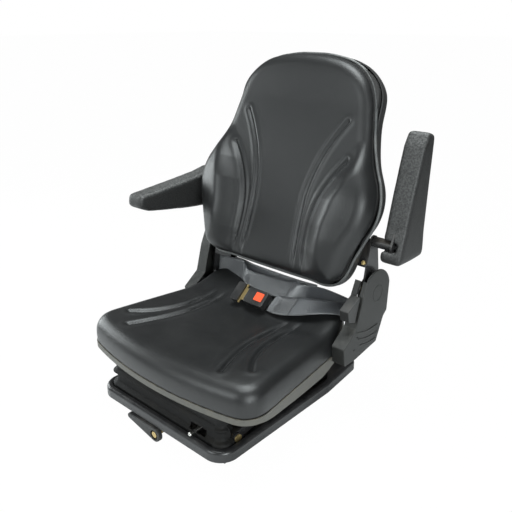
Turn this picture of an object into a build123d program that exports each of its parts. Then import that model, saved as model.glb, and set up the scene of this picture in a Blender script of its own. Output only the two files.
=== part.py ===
from build123d import *
import os
from math import asin, atan2, cos, degrees, hypot, radians, sin, tan

# Tractor suspension seat. Millimetres. The origin is on the floor under the centre of the
# base, +X is the sitter's left, +Y points to the rear and +Z up.

# Fits
RUNNING_FIT = 0.06
FLOOR_GAP = 0.3
SLIDE_FIT = 0.3
ROLLER_FIT = 0.4
SIDE_GAP = 1.5

# Floor rails and their runners
RAIL_SPACING = 280.0
RAIL_LENGTH = 400.0
RAIL_WIDTH = 46.0
RAIL_HEIGHT = 20.0
RAIL_WALL = 2.5
RAIL_LIP = 10.0
FLOOR_HOLE_PITCH = 300.0
FLOOR_HOLE_R = 4.5
RUNNER_LENGTH = 330.0
RUNNER_FLANGE_Z = 6.0
RUNNER_FLANGE_T = 2.5
RUNNER_SIDE_GAP = 1.2
RUNNER_NECK = 18.0
SHOE_LENGTH = 40.0
STRAP_Y = 130.0
STRAP_WIDTH = 30.0
STRAP_T = 4.0

# Slide latch and its hand lever
RACK_X = 28.0
RACK_T = 4.0
RACK_HEIGHT = 13.0
RACK_PITCH = 12.0
RACK_NOTCH = 6.0
RACK_DEPTH = 5.0
RACK_TEETH = 21
LATCH_GAP = 0.4
LATCH_FINGER_T = 3.5
LEVER_Z = 20.5
LEVER_BOSS_R = 17.0
LEVER_REACH = 86.0
LEVER_RISE = 8.5
LEVER_TIP_R = 6.5
LEVER_T = 10.5
LEVER_SETBACK = 4.5
LATCH_SHAFT_R = 6.0
LATCH_SHAFT_REAR_Y = -20.0

# Base pan and skirt
BASE_Z = 36.0
BASE_HALF_WIDTH = 204.0
BASE_FRONT_Y = -249.0
BASE_TAPER_Y = 109.0
BASE_REAR_Y = 252.0
BASE_REAR_HALF_WIDTH = 190.0
BASE_CORNER_R = 43.0
BASE_REAR_R = 24.0
PAN_INSET = 3.2
PAN_WALL = 2.5
PAN_BEND_R = 8.0
SKIRT_LIFT = 4.0
SKIRT_TOP_Z = 64.0
SKIRT_LIP = 13.0
SKIRT_WALL = 2.7
SKIRT_ROUND = 8.0

# Scissor frame
SCISSOR_FRONT_Y = -182.0
SCISSOR_REACH = 330.0
LOWER_PIVOT_Z = 66.0
UPPER_PIVOT_Z = 120.0
STROKE = 48.0
ARM_T = 4.0
ARM_HEIGHT = 24.0
OUTER_ARM_X = 176.0
INNER_ARM_X = 148.0
PIVOT_R = 6.0
ROLLER_R = 8.0
ROLLER_W = 7.0
TRACK_T = 2.5
TRACK_LENGTH = 58.0
TRACK_BACK = 13.5
CROSS_TUBE_R = 7.0
CROSS_TUBE_WALL = 2.0
CROSS_TUBE_SHIFT = 24.0

# Springs, damper and stops
SPRING_X = 92.0
SPRING_Y = 72.0
SPRING_R = 32.0
SPRING_WIRE_R = 3.0
SPRING_TURNS = 4.5
DAMPER_LOWER = (-60.0, 54.0)
DAMPER_UPPER = (95.0, 118.0)
DAMPER_TUBE_R = 12.0
DAMPER_BORE_R = 8.0
DAMPER_ROD_R = 5.0
DAMPER_TUBE_LENGTH = 104.0
DAMPER_EYE_R = 9.0
DAMPER_EYE_HALF = 12.0
DAMPER_PIN_R = 5.0
STOP_R = 13.0
STOP_HEIGHT = 26.0
STOP_X = 112.0
STOP_FRONT_Y = -160.0
STOP_REAR_Y = 119.0

# Weight lever rod
ROD_X = 112.0
ROD_Z = 76.0
ROD_R = 4.5
ROD_TIP_Y = -251.0
ROD_PIVOT_Y = -128.0
ROD_BOSS_HALF = 6.0

# Boot
BOOT_INSET = 16.0
BOOT_FOLD = 9.0
BOOT_WALL = 2.0
BOOT_BOTTOM_Z = 50.0
BOOT_REAR_Y = -196.0

# Upper frame and seat pan
FRAME_Z = 131.5
FRAME_T = 2.5
FRAME_HALF_WIDTH = 177.0
FRAME_FRONT_Y = -222.0
FRAME_REAR_Y = 176.0
SEAT_RIM_Z = 157.0
SEAT_HALF_WIDTH = 256.5
SEAT_SIDE_Y = -166.0
SEAT_SIDE_TAPER = 0.119
SEAT_FRONT_Y = -258.0
SEAT_FRONT_BOW = 38.0
SEAT_REAR_Y = 182.0
SEAT_CORNER_R = 53.0
SEAT_REAR_R = 48.0
SHEET = 2.2
SEAT_BEVEL_Z = 10.0
SEAT_BEVEL_IN = 26.0

# Seat cushion
CUSHION_FRONT_Z = 219.0
CUSHION_REAR_Z = 205.0
CUSHION_ROUND = 34.0
CUSHION_INSET = 3.4
CUSHION_OVERHANG = 3.0
CHANNEL_WIDTH = 7.0
CHANNEL_DEPTH = 4.0

# Backrest, laid out on the plane of its piping
RECLINE = 18.0
BACK_Y = 128.0
BACK_Z = 300.0
PIPING_T = 6.0
PIPING_PROUD = 3.0
WELT_DEPTH = 9.0
CORE_GAP = 2.0
PAD_INSET = 3.0
PAD_ROUND = 12.0
TOP_ROLL_T = 44.0
SHELL_DEPTH = 30.0
SHELL_WALL = 3.0
SHELL_ROUND = 13.0
TAB_T = 4.0
BACK_PAD_T = 26.0
BOLSTER_T = 58.0
BOLSTER_ROUND = 22.0

# Recliner, side covers and armrests
RECLINE_Y = 203.0
RECLINE_Z = 285.0
RECLINE_HEAD_R = 34.0
RECLINE_PIN_R = 7.0
PLATE_X = 229.5
PLATE_T = 4.0
DISC_T = 4.0
SIDE_ARM_T = 5.0
COVER_X = 228.0
COVER_W = 33.0
COVER_WALL = 3.0
ARMREST_Y = 203.0
ARMREST_Z = 405.0
ARMREST_X = 295.0
ARMREST_W = 52.0
ARMREST_SWING = 97.6
ARMREST_PIN_R = 8.0
HUB_R = 12.0
BRACKET_T = 5.0

# Lap belt
WEB_W = 48.0
WEB_T = 1.8

os.makedirs("parts", exist_ok=True)
nodes = {}

FACING_FRONT = Plane(origin=(0, 0, 0), x_dir=(1, 0, 0), z_dir=(0, -1, 0))
BACK_PLANE = Plane(
    origin=(0, BACK_Y, BACK_Z),
    x_dir=(1, 0, 0),
    z_dir=(0, -cos(radians(RECLINE)), sin(radians(RECLINE))),
)


def both_sides(part):
    return [part, mirror(part, about=Plane.YZ)]


def group(*parts):
    solids = [solid for part in parts for solid in part.solids()]
    return Compound(children=solids)


def box_at(x0, x1, y0, y1, z0, z1):
    return Pos((x0 + x1) / 2, (y0 + y1) / 2, (z0 + z1) / 2) * Box(x1 - x0, y1 - y0, z1 - z0)


def pin_x(radius, x0, x1, y, z):
    return Pos((x0 + x1) / 2, y, z) * Rot(0, 90, 0) * Cylinder(radius, x1 - x0)


def pin_y(radius, y0, y1, x, z):
    return Pos(x, (y0 + y1) / 2, z) * Rot(90, 0, 0) * Cylinder(radius, y1 - y0)


def pin_z(radius, z0, z1, x, y):
    return Pos(x, y, (z0 + z1) / 2) * Cylinder(radius, z1 - z0)


def side_plate(sketch, x0, x1):
    """A plate cut from a sketch in Y and Z, lying between two values of X."""
    return extrude(Plane.YZ.offset(x0) * sketch, x1 - x0, dir=(1, 0, 0))


def front_plate(sketch, y0, y1):
    """A plate cut from a sketch in X and Z, lying between two values of Y."""
    return extrude(FACING_FRONT.offset(-y1) * sketch, y1 - y0, dir=(0, -1, 0))


def strap_between(y0, z0, r0, y1, z1, r1):
    """A flat link: two round ends joined by their common tangents."""
    ends = Pos(y0, z0) * Circle(r0) + Pos(y1, z1) * Circle(r1)
    return make_hull(ends.edges())


def base_outline(inset=0.0):
    side = BASE_HALF_WIDTH - inset
    rear = BASE_REAR_HALF_WIDTH - inset
    front_y = BASE_FRONT_Y + inset
    rear_y = BASE_REAR_Y - inset
    half = [(side, front_y), (side, BASE_TAPER_Y), (rear, rear_y)]
    face = Polygon(*half, *[(-x, y) for x, y in reversed(half)], align=None)
    corners = face.vertices().sort_by(Axis.Y)
    face = fillet(corners[0:2], BASE_CORNER_R - inset)
    corners = face.vertices().sort_by(Axis.Y)
    return fillet(corners[-2:], BASE_REAR_R - inset / 2)


def seat_outline(inset=0.0):
    def side_x(y):
        return SEAT_HALF_WIDTH - SEAT_SIDE_TAPER * (y - SEAT_SIDE_Y) - inset

    front_side_y = SEAT_FRONT_Y + SEAT_FRONT_BOW + inset
    rear_y = SEAT_REAR_Y - inset
    front_x = side_x(front_side_y)
    rear_x = side_x(rear_y)
    bow = ThreePointArc((-front_x, front_side_y), (0, SEAT_FRONT_Y + inset), (front_x, front_side_y))
    sides = Polyline((front_x, front_side_y), (rear_x, rear_y), (-rear_x, rear_y), (-front_x, front_side_y))
    face = make_face(bow + sides)
    corners = face.vertices().sort_by(Axis.Y)
    face = fillet(corners[0:2], SEAT_CORNER_R - inset)
    corners = face.vertices().sort_by(Axis.Y)
    return fillet(corners[-2:], SEAT_REAR_R - inset)


# Floor rails: rolled channels with lips turned in over the runner, slotted for floor bolts
RAIL_X = RAIL_SPACING / 2
rail_section = Pos(0, RAIL_HEIGHT / 2) * Rectangle(RAIL_WIDTH, RAIL_HEIGHT)
rail_section -= Pos(0, RAIL_HEIGHT / 2) * Rectangle(RAIL_WIDTH - 2 * RAIL_WALL, RAIL_HEIGHT - 2 * RAIL_WALL)
rail_section -= Pos(0, RAIL_HEIGHT) * Rectangle(RAIL_WIDTH - 2 * RAIL_LIP, 4 * RAIL_WALL)
rail = Pos(RAIL_X, 0, 0) * front_plate(rail_section, -RAIL_LENGTH / 2, RAIL_LENGTH / 2)
for hole_y in (-FLOOR_HOLE_PITCH / 2, FLOOR_HOLE_PITCH / 2):
    rail -= pin_z(FLOOR_HOLE_R, -1, RAIL_WALL + 1, RAIL_X, hole_y)
nodes["floor_rail_left"], nodes["floor_rail_right"] = both_sides(rail)

# Cross straps weld the two rails into a ladder, and carry the latch rack on edge
strap_end = RAIL_X - RAIL_WIDTH / 2
straps = [
    box_at(-strap_end, strap_end, y - STRAP_WIDTH / 2, y + STRAP_WIDTH / 2, 0, STRAP_T)
    for y in (-STRAP_Y, STRAP_Y)
]
nodes["rail_cross_straps"] = group(*straps)
rack_end = STRAP_Y + STRAP_WIDTH / 2
rack = box_at(RACK_X, RACK_X + RACK_T, -rack_end, rack_end, STRAP_T, STRAP_T + RACK_HEIGHT)
for tooth in range(RACK_TEETH):
    notch_y = (tooth - (RACK_TEETH - 1) / 2) * RACK_PITCH
    notch_top = STRAP_T + RACK_HEIGHT
    rack -= box_at(
        RACK_X - 1, RACK_X + RACK_T + 1,
        notch_y - RACK_NOTCH / 2, notch_y + RACK_NOTCH / 2,
        notch_top - RACK_DEPTH, notch_top + 1,
    )
nodes["latch_rack"] = rack

# Slide runners: hat sections that stand up through the rails, on moulded slide shoes
flange_half = RAIL_WIDTH / 2 - RAIL_WALL - RUNNER_SIDE_GAP
flange_top = RUNNER_FLANGE_Z + RUNNER_FLANGE_T
neck_height = BASE_Z - RUNNER_FLANGE_Z
runner_section = Pos(0, RUNNER_FLANGE_Z + RUNNER_FLANGE_T / 2) * Rectangle(2 * flange_half, RUNNER_FLANGE_T)
runner_section += Pos(0, RUNNER_FLANGE_Z + neck_height / 2) * Rectangle(RUNNER_NECK, neck_height)
runner_section -= Pos(0, RUNNER_FLANGE_Z + neck_height / 2) * Rectangle(
    RUNNER_NECK - 2 * RAIL_WALL, neck_height - 2 * RAIL_WALL
)
runner = Pos(RAIL_X, 0, 0) * front_plate(runner_section, -RUNNER_LENGTH / 2, RUNNER_LENGTH / 2)
nodes["slide_runner_left"], nodes["slide_runner_right"] = both_sides(runner)

shoes = []
lip_under = RAIL_HEIGHT - RAIL_WALL - SLIDE_FIT
for shoe_y in (-(RUNNER_LENGTH - SHOE_LENGTH) / 2, (RUNNER_LENGTH - SHOE_LENGTH) / 2):
    y0, y1 = shoe_y - SHOE_LENGTH / 2, shoe_y + SHOE_LENGTH / 2
    shoes += both_sides(
        box_at(RAIL_X - flange_half, RAIL_X + flange_half, y0, y1, RAIL_WALL + SLIDE_FIT, RUNNER_FLANGE_Z)
    )
    for sign in (-1, 1):
        inner = RAIL_X + sign * (RUNNER_NECK / 2 + 4.5)
        outer = RAIL_X + sign * flange_half
        shoes += both_sides(box_at(min(inner, outer), max(inner, outer), y0, y1, flange_top, lip_under))
nodes["slide_shoes"] = group(*shoes)

# Base pan: one pressed tray with a deep bend, standing on the two runners
pan_top = SKIRT_TOP_Z - 3.5
pan_height = pan_top - BASE_Z
pan = Pos(0, 0, BASE_Z) * extrude(base_outline(PAN_INSET), pan_height)
pan = fillet(pan.faces().sort_by(Axis.Z)[0].edges(), PAN_BEND_R)
tray_hollow = Pos(0, 0, BASE_Z + PAN_WALL) * extrude(base_outline(PAN_INSET + PAN_WALL), pan_height)
tray_hollow = fillet(tray_hollow.faces().sort_by(Axis.Z)[0].edges(), PAN_BEND_R - PAN_WALL)
pan -= tray_hollow
pan_window = Pos(0, 175, BASE_Z - 1) * extrude(RectangleRounded(180, 70, 16), 2 * PAN_WALL)
pan -= pan_window
for hole_x in (-85, 85):
    pan -= Pos(hole_x, -70, BASE_Z - 1) * extrude(RectangleRounded(70, 120, 14), 2 * PAN_WALL)
nodes["base_pan"] = pan

# Skirt: moulded ring over the wall of the pan, rounded outside and open underneath
skirt_z = BASE_Z + SKIRT_LIFT
skirt = Pos(0, 0, skirt_z) * extrude(base_outline(), SKIRT_TOP_Z - skirt_z)
skirt = fillet(skirt.faces().sort_by(Axis.Z)[-1].edges(), SKIRT_ROUND)
skirt -= Pos(0, 0, skirt_z - 1) * extrude(base_outline(SKIRT_LIP), SKIRT_TOP_Z)
groove = extrude(base_outline(SKIRT_WALL), pan_top - skirt_z + 1)
groove -= Pos(0, 0, -1) * extrude(base_outline(SKIRT_LIP - SKIRT_WALL), SKIRT_TOP_Z)
skirt -= Pos(0, 0, skirt_z - 1) * groove
nodes["base_skirt"] = skirt

# Shaft hangers under the pan carry the latch shaft
floor_top = BASE_Z + PAN_WALL
hangers = []
for hanger_y in (BASE_FRONT_Y + 36, LATCH_SHAFT_REAR_Y - 6):
    ear = Pos(0, LEVER_Z) * Circle(LATCH_SHAFT_R + 5)
    ear += Pos(0, (LEVER_Z + BASE_Z) / 2) * Rectangle(2 * (LATCH_SHAFT_R + 5), BASE_Z - LEVER_Z)
    ear -= Pos(0, LEVER_Z) * Circle(LATCH_SHAFT_R + RUNNING_FIT)
    hangers.append(front_plate(ear, hanger_y - 1.5, hanger_y + 1.5))
nodes["shaft_hangers"] = group(*hangers)

# Slide lever: moulded hand lever, boss on the shaft and arm reaching out under the skirt
lever_front_y = BASE_FRONT_Y - 10.5 + LEVER_SETBACK
lever_rear_y = lever_front_y + LEVER_T
lever_outline = strap_between(
    0, LEVER_Z, LEVER_BOSS_R, -LEVER_REACH, LEVER_Z + LEVER_RISE, LEVER_TIP_R
)
lever = front_plate(lever_outline, lever_front_y, lever_rear_y)
lever = fillet(lever.faces().sort_by(Axis.Y)[0].edges(), 2.5)
lever -= pin_y(11.5, lever_front_y - 1, lever_front_y + 6, 0, LEVER_Z)
lever -= pin_y(LATCH_SHAFT_R, lever_front_y, lever_rear_y + 1, 0, LEVER_Z)
nodes["slide_lever"] = lever
bolt_head = front_plate(RegularPolygon(8, 6), lever_front_y + 1, lever_front_y + 6)
nodes["slide_lever_bolt"] = Pos(0, 0, LEVER_Z) * bolt_head

# Latch shaft: round bar with a finger that hangs over the rack's teeth
shaft = pin_y(LATCH_SHAFT_R, lever_front_y + 6, LATCH_SHAFT_REAR_Y, 0, LEVER_Z)
finger_z = STRAP_T + RACK_HEIGHT + LATCH_GAP
shaft += box_at(
    0, RACK_X + RACK_T + 4, -STRAP_WIDTH - RACK_PITCH, -STRAP_WIDTH - RACK_PITCH + RACK_NOTCH - 1,
    finger_z, finger_z + LATCH_FINGER_T,
)
nodes["latch_shaft"] = shaft

# Scissor geometry shared by arms, tracks and pivots
scissor_rise = UPPER_PIVOT_Z - LOWER_PIVOT_Z
roller_y = SCISSOR_FRONT_Y + SCISSOR_REACH
arm_length = hypot(SCISSOR_REACH, scissor_rise)
arm_swing = degrees(asin(scissor_rise / arm_length) - asin((scissor_rise - STROKE) / arm_length))
centre_y = SCISSOR_FRONT_Y + SCISSOR_REACH / 2
centre_z = (LOWER_PIVOT_Z + UPPER_PIVOT_Z) / 2
rise_per_mm = scissor_rise / SCISSOR_REACH
outer_roller_x = OUTER_ARM_X - ROLLER_FIT - ROLLER_W
inner_roller_x = INNER_ARM_X + ARM_T + ROLLER_FIT
track_gap = ROLLER_R + ROLLER_FIT
track_depth = ROLLER_W + 1.0


def channel(height, depth):
    """Track section with its opening towards +X and its web at x = 0."""
    section = Pos(depth / 2, 0) * Rectangle(depth, height + 2 * TRACK_T)
    return section - Pos(depth / 2 + TRACK_T, 0) * Rectangle(depth, height)


# Lower tracks: channels on the pan floor, open inwards to the inner arms' rollers
track_y1 = roller_y + TRACK_BACK
track_y0 = track_y1 - TRACK_LENGTH
lower_web_x = inner_roller_x + track_depth
track_section = mirror(channel(2 * track_gap, track_depth + TRACK_T), about=Plane.YZ)
lower_track = front_plate(Pos(lower_web_x + TRACK_T, LOWER_PIVOT_Z) * track_section, track_y0, track_y1)
leg_top = LOWER_PIVOT_Z - track_gap - TRACK_T
lower_track += box_at(lower_web_x, lower_web_x + TRACK_T, track_y0, track_y1, floor_top, leg_top + 1)
lower_track += box_at(inner_roller_x - 12, lower_web_x + TRACK_T, track_y0, track_y1, floor_top, floor_top + TRACK_T)
nodes["lower_tracks"] = group(*both_sides(lower_track))

# Front corner brackets: folded plate with a sloping front wing and the riveted pivot
wing_y = SCISSOR_FRONT_Y - 23
bracket_x = OUTER_ARM_X + ARM_T + SIDE_GAP
bracket_t = 3.0
ear_sketch = strap_between(SCISSOR_FRONT_Y, LOWER_PIVOT_Z, 11, SCISSOR_FRONT_Y + 4, floor_top + 12, 18)
ear_sketch += Pos((wing_y + SCISSOR_FRONT_Y + 22) / 2, floor_top + 7) * Rectangle(SCISSOR_FRONT_Y + 22 - wing_y, 14)
ear_sketch &= Pos(SCISSOR_FRONT_Y, floor_top + 100) * Rectangle(200, 200)
bracket = side_plate(ear_sketch, bracket_x, bracket_x + bracket_t)
bracket -= pin_x(PIVOT_R, bracket_x - 1, bracket_x + bracket_t + 1, SCISSOR_FRONT_Y, LOWER_PIVOT_Z)
wing = Polygon(
    (bracket_x + bracket_t, floor_top), (bracket_x + bracket_t, floor_top + 20), (168, 80.5), (140, 80.5),
    (140, floor_top), align=None,
)
bracket += front_plate(wing, wing_y, wing_y + bracket_t)
nodes["pivot_brackets"] = group(*both_sides(bracket))
rivet = pin_x(PIVOT_R, OUTER_ARM_X - 4, bracket_x + bracket_t, SCISSOR_FRONT_Y, LOWER_PIVOT_Z)
rivet += pin_x(9, bracket_x + bracket_t, bracket_x + bracket_t + 2.5, SCISSOR_FRONT_Y, LOWER_PIVOT_Z)
nodes["lower_pivot_pins"] = group(*both_sides(rivet))


def scissor_arm(front_z, rear_z):
    """One arm: a flat link with a pressed dimple line, eyes at both ends and at the centre."""
    link = strap_between(SCISSOR_FRONT_Y, front_z, ARM_HEIGHT / 2 - 1, roller_y, rear_z, ARM_HEIGHT / 2 - 1)
    for eye_y, eye_z in ((SCISSOR_FRONT_Y, front_z), (centre_y, centre_z)):
        link -= Pos(eye_y, eye_z) * Circle(PIVOT_R + RUNNING_FIT)
    slope = (rear_z - front_z) / SCISSOR_REACH
    for part_way in (-0.27, 0.27):
        slot_y = centre_y + part_way * SCISSOR_REACH
        slot = Pos(slot_y, centre_z + slope * (slot_y - centre_y)) * Rot(0, 0, degrees(atan2(slope, 1)))
        link -= slot * SlotOverall(70, 9)
    return link


# Outer scissor: hinged on the base in front, rolling under the seat frame behind
outer_tube_y = roller_y + CROSS_TUBE_SHIFT
outer_tube_z = UPPER_PIVOT_Z + rise_per_mm * CROSS_TUBE_SHIFT
outer_link = scissor_arm(LOWER_PIVOT_Z, UPPER_PIVOT_Z)
outer_link += strap_between(roller_y, UPPER_PIVOT_Z, ARM_HEIGHT / 2 - 1, outer_tube_y, outer_tube_z, CROSS_TUBE_R)
outer_arm = side_plate(outer_link, OUTER_ARM_X, OUTER_ARM_X + ARM_T)
outer_frame = outer_arm + mirror(outer_arm, about=Plane.YZ)
outer_frame += pin_x(CROSS_TUBE_R, -OUTER_ARM_X, OUTER_ARM_X, outer_tube_y, outer_tube_z)
outer_frame -= pin_x(CROSS_TUBE_R - CROSS_TUBE_WALL, -200, 200, outer_tube_y, outer_tube_z)
nodes["outer_scissor_frame"] = outer_frame
nodes["outer_rollers"] = group(*both_sides(
    pin_x(ROLLER_R, outer_roller_x, outer_roller_x + ROLLER_W, roller_y, UPPER_PIVOT_Z)
    + pin_x(4, outer_roller_x, OUTER_ARM_X, roller_y, UPPER_PIVOT_Z)
))

# Inner scissor: hinged on the seat frame in front, rolling in the lower tracks behind
inner_link = scissor_arm(UPPER_PIVOT_Z, LOWER_PIVOT_Z)
inner_arm = side_plate(inner_link, INNER_ARM_X, INNER_ARM_X + ARM_T)
inner_frame = inner_arm + mirror(inner_arm, about=Plane.YZ)
inner_frame += pin_x(CROSS_TUBE_R, -INNER_ARM_X, INNER_ARM_X, roller_y, LOWER_PIVOT_Z)
inner_frame -= pin_x(CROSS_TUBE_R - CROSS_TUBE_WALL, -INNER_ARM_X, INNER_ARM_X, roller_y, LOWER_PIVOT_Z)
nodes["inner_scissor_frame"] = inner_frame
nodes["inner_rollers"] = group(*both_sides(
    pin_x(ROLLER_R, inner_roller_x, inner_roller_x + ROLLER_W, roller_y, LOWER_PIVOT_Z)
    + pin_x(4, INNER_ARM_X + ARM_T, inner_roller_x, roller_y, LOWER_PIVOT_Z)
))

# Upper frame: pressed plate with a central window, tracks and pivot ears welded below
plate = Pos(0, (FRAME_FRONT_Y + FRAME_REAR_Y) / 2) * RectangleRounded(
    2 * FRAME_HALF_WIDTH, FRAME_REAR_Y - FRAME_FRONT_Y, 22
)
plate -= Pos(0, -70) * RectangleRounded(74, 74, 14)
frame = Pos(0, 0, FRAME_Z) * extrude(plate, FRAME_T)
upper_web_x = outer_roller_x - 1.0 - TRACK_T
upper_section = Pos(upper_web_x, UPPER_PIVOT_Z) * channel(2 * track_gap, track_depth + TRACK_T)
upper_track = front_plate(upper_section, track_y0, track_y1)
upper_track += box_at(
    upper_web_x, upper_web_x + TRACK_T, track_y0, track_y1, UPPER_PIVOT_Z + track_gap, FRAME_Z
)
ear_x = INNER_ARM_X - SIDE_GAP - bracket_t
ear_sketch = strap_between(SCISSOR_FRONT_Y, UPPER_PIVOT_Z, 10, SCISSOR_FRONT_Y + 12, FRAME_Z, 20)
ear_sketch &= Pos(SCISSOR_FRONT_Y, FRAME_Z - 50) * Rectangle(100, 100)
ear = side_plate(ear_sketch, ear_x, ear_x + bracket_t)
ear -= pin_x(PIVOT_R, ear_x - 1, ear_x + bracket_t + 1, SCISSOR_FRONT_Y, UPPER_PIVOT_Z)
damper_ear_sketch = strap_between(DAMPER_UPPER[0], DAMPER_UPPER[1], 9, DAMPER_UPPER[0], FRAME_Z, 14)
damper_ear_sketch &= Pos(DAMPER_UPPER[0], FRAME_Z - 50) * Rectangle(100, 100)
damper_ear = side_plate(damper_ear_sketch, DAMPER_EYE_HALF + SIDE_GAP, DAMPER_EYE_HALF + SIDE_GAP + bracket_t)
upper_pin_x = DAMPER_EYE_HALF + SIDE_GAP
damper_ears = group(*both_sides(damper_ear)) + pin_x(DAMPER_PIN_R, -upper_pin_x, upper_pin_x, *DAMPER_UPPER)
frame += group(*both_sides(upper_track), *both_sides(ear), *damper_ears.solids())
nodes["upper_frame"] = frame
upper_pin = pin_x(PIVOT_R, ear_x, INNER_ARM_X + ARM_T + 1, SCISSOR_FRONT_Y, UPPER_PIVOT_Z)
upper_pin += pin_x(8.5, ear_x - 2.5, ear_x, SCISSOR_FRONT_Y, UPPER_PIVOT_Z)
nodes["upper_pivot_pins"] = group(*both_sides(upper_pin))

# Springs: barrel of round wire between a cup on the pan and the underside of the frame
spring_z0 = floor_top
spring_height = FRAME_Z - spring_z0 - 2 * SPRING_WIRE_R
coil = Helix(
    pitch=spring_height / SPRING_TURNS, height=spring_height, radius=SPRING_R - SPRING_WIRE_R,
)
wire_plane = Plane(origin=coil @ 0, z_dir=coil % 0)
spring = sweep(wire_plane * Circle(SPRING_WIRE_R), path=coil)
spring = Pos(SPRING_X, SPRING_Y, spring_z0 + SPRING_WIRE_R) * spring
nodes["spring_left"], nodes["spring_right"] = both_sides(spring)
cups = pin_z(SPRING_R - 2 * SPRING_WIRE_R - 1, floor_top, floor_top + 8, SPRING_X, SPRING_Y)
cups -= pin_z(SPRING_R - 2 * SPRING_WIRE_R - 4, floor_top + 2, floor_top + 9, SPRING_X, SPRING_Y)
nodes["spring_seats"] = group(*both_sides(cups))

# Bump stops: rubber buffers on the pan that end the downward stroke
stops = []
for stop_y in (STOP_FRONT_Y, STOP_REAR_Y):
    buffer = Cone(STOP_R, STOP_R - 4, STOP_HEIGHT, align=(Align.CENTER, Align.CENTER, Align.MIN))
    stops += both_sides(Pos(STOP_X, stop_y, floor_top) * buffer)
nodes["bump_stops"] = group(*stops)

# Damper: tube hinged on the pan, rod hinged under the frame, both turning with the stroke
damper_run = DAMPER_UPPER[0] - DAMPER_LOWER[0]
damper_rise = DAMPER_UPPER[1] - DAMPER_LOWER[1]
damper_angle = degrees(atan2(damper_rise, damper_run))
damper_swing = damper_angle - degrees(atan2(damper_rise - STROKE, damper_run))
damper_span = hypot(damper_run, damper_rise)
damper_base = Pos(0, DAMPER_LOWER[0], DAMPER_LOWER[1]) * Rot(damper_angle, 0, 0)
tube = pin_y(DAMPER_TUBE_R, 6, DAMPER_TUBE_LENGTH, 0, 0)
tube -= pin_y(DAMPER_BORE_R, 20, DAMPER_TUBE_LENGTH + 1, 0, 0)
tube += pin_x(DAMPER_EYE_R, -DAMPER_EYE_HALF, DAMPER_EYE_HALF, 0, 0)
tube -= pin_x(DAMPER_PIN_R + RUNNING_FIT, -20, 20, 0, 0)
nodes["damper_tube"] = damper_base * tube
rod = pin_y(DAMPER_ROD_R, damper_span - 96, damper_span - 4, 0, 0)
rod += pin_x(DAMPER_EYE_R, -DAMPER_EYE_HALF, DAMPER_EYE_HALF, damper_span, 0)
rod -= pin_x(DAMPER_PIN_R + RUNNING_FIT, -20, 20, damper_span, 0)
nodes["damper_rod"] = damper_base * rod
lower_ear_sketch = strap_between(DAMPER_LOWER[0], DAMPER_LOWER[1], 9, DAMPER_LOWER[0], floor_top, 14)
lower_ear_sketch &= Pos(DAMPER_LOWER[0], floor_top + 50) * Rectangle(100, 100)
lower_ears = both_sides(side_plate(lower_ear_sketch, DAMPER_EYE_HALF + SIDE_GAP, DAMPER_EYE_HALF + SIDE_GAP + bracket_t))
lower_pin = pin_x(DAMPER_PIN_R, -DAMPER_EYE_HALF - SIDE_GAP, DAMPER_EYE_HALF + SIDE_GAP, *DAMPER_LOWER)
nodes["damper_bracket"] = lower_ears[0] + lower_ears[1] + lower_pin

# Weight lever: bright rod with a rounded end, swinging on an upright pin on the pan
rod_body = pin_y(ROD_R, ROD_TIP_Y, ROD_PIVOT_Y - 4, ROD_X, ROD_Z)
rod_body = fillet(rod_body.faces().sort_by(Axis.Y)[0].edges(), ROD_R - 0.4)
rod_body += pin_z(9, ROD_Z - ROD_BOSS_HALF, ROD_Z + ROD_BOSS_HALF, ROD_X, ROD_PIVOT_Y)
rod_body -= pin_z(4 + RUNNING_FIT, ROD_Z - 20, ROD_Z + 20, ROD_X, ROD_PIVOT_Y)
nodes["weight_lever"] = rod_body
post = pin_z(8, floor_top, ROD_Z - ROD_BOSS_HALF - FLOOR_GAP, ROD_X, ROD_PIVOT_Y)
post += pin_z(4, floor_top, ROD_Z + ROD_BOSS_HALF + 0.8, ROD_X, ROD_PIVOT_Y)
nodes["weight_lever_post"] = post

# Boot: pleated apron behind the skirt, round the front corners, with a slot for the rod
boot_levels = (
    (BOOT_BOTTOM_Z, 0.0), (68.0, 0.0), (74.0, BOOT_FOLD), (92.0, BOOT_FOLD + 3), (99.0, 2.0),
    (106.0, BOOT_FOLD + 2), (FRAME_Z, BOOT_FOLD - 3),
)


def boot_band(inset):
    band = base_outline(BOOT_INSET + inset) - base_outline(BOOT_INSET + inset + BOOT_WALL)
    return band & Pos(0, BASE_FRONT_Y) * Rectangle(600, 2 * (BOOT_REAR_Y - BASE_FRONT_Y))


boot = Part()
for (low_z, low_in), (high_z, high_in) in zip(boot_levels, boot_levels[1:]):
    lower = Pos(0, 0, low_z) * boot_band(low_in)
    upper = Pos(0, 0, high_z) * boot_band(high_in)
    boot += loft([lower, upper], ruled=True)
boot -= box_at(ROD_X - 24, ROD_X + 24, BASE_FRONT_Y, -180, ROD_Z - ROD_R - 1.5, ROD_Z + ROD_R + 2.5)
nodes["boot"] = boot

# Seat pan: pressed tray with a rolled rim, sloped into its floor, deeper flanges behind
tray_z = FRAME_Z + FRAME_T
tray_height = SEAT_RIM_Z - tray_z


def seat_shell(inset, z0, top):
    sloped = loft([
        Pos(0, 0, z0) * seat_outline(inset + SEAT_BEVEL_IN),
        Pos(0, 0, z0 + SEAT_BEVEL_Z) * seat_outline(inset),
    ], ruled=True)
    return sloped + Pos(0, 0, z0 + SEAT_BEVEL_Z) * extrude(seat_outline(inset), top - z0 - SEAT_BEVEL_Z)


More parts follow.
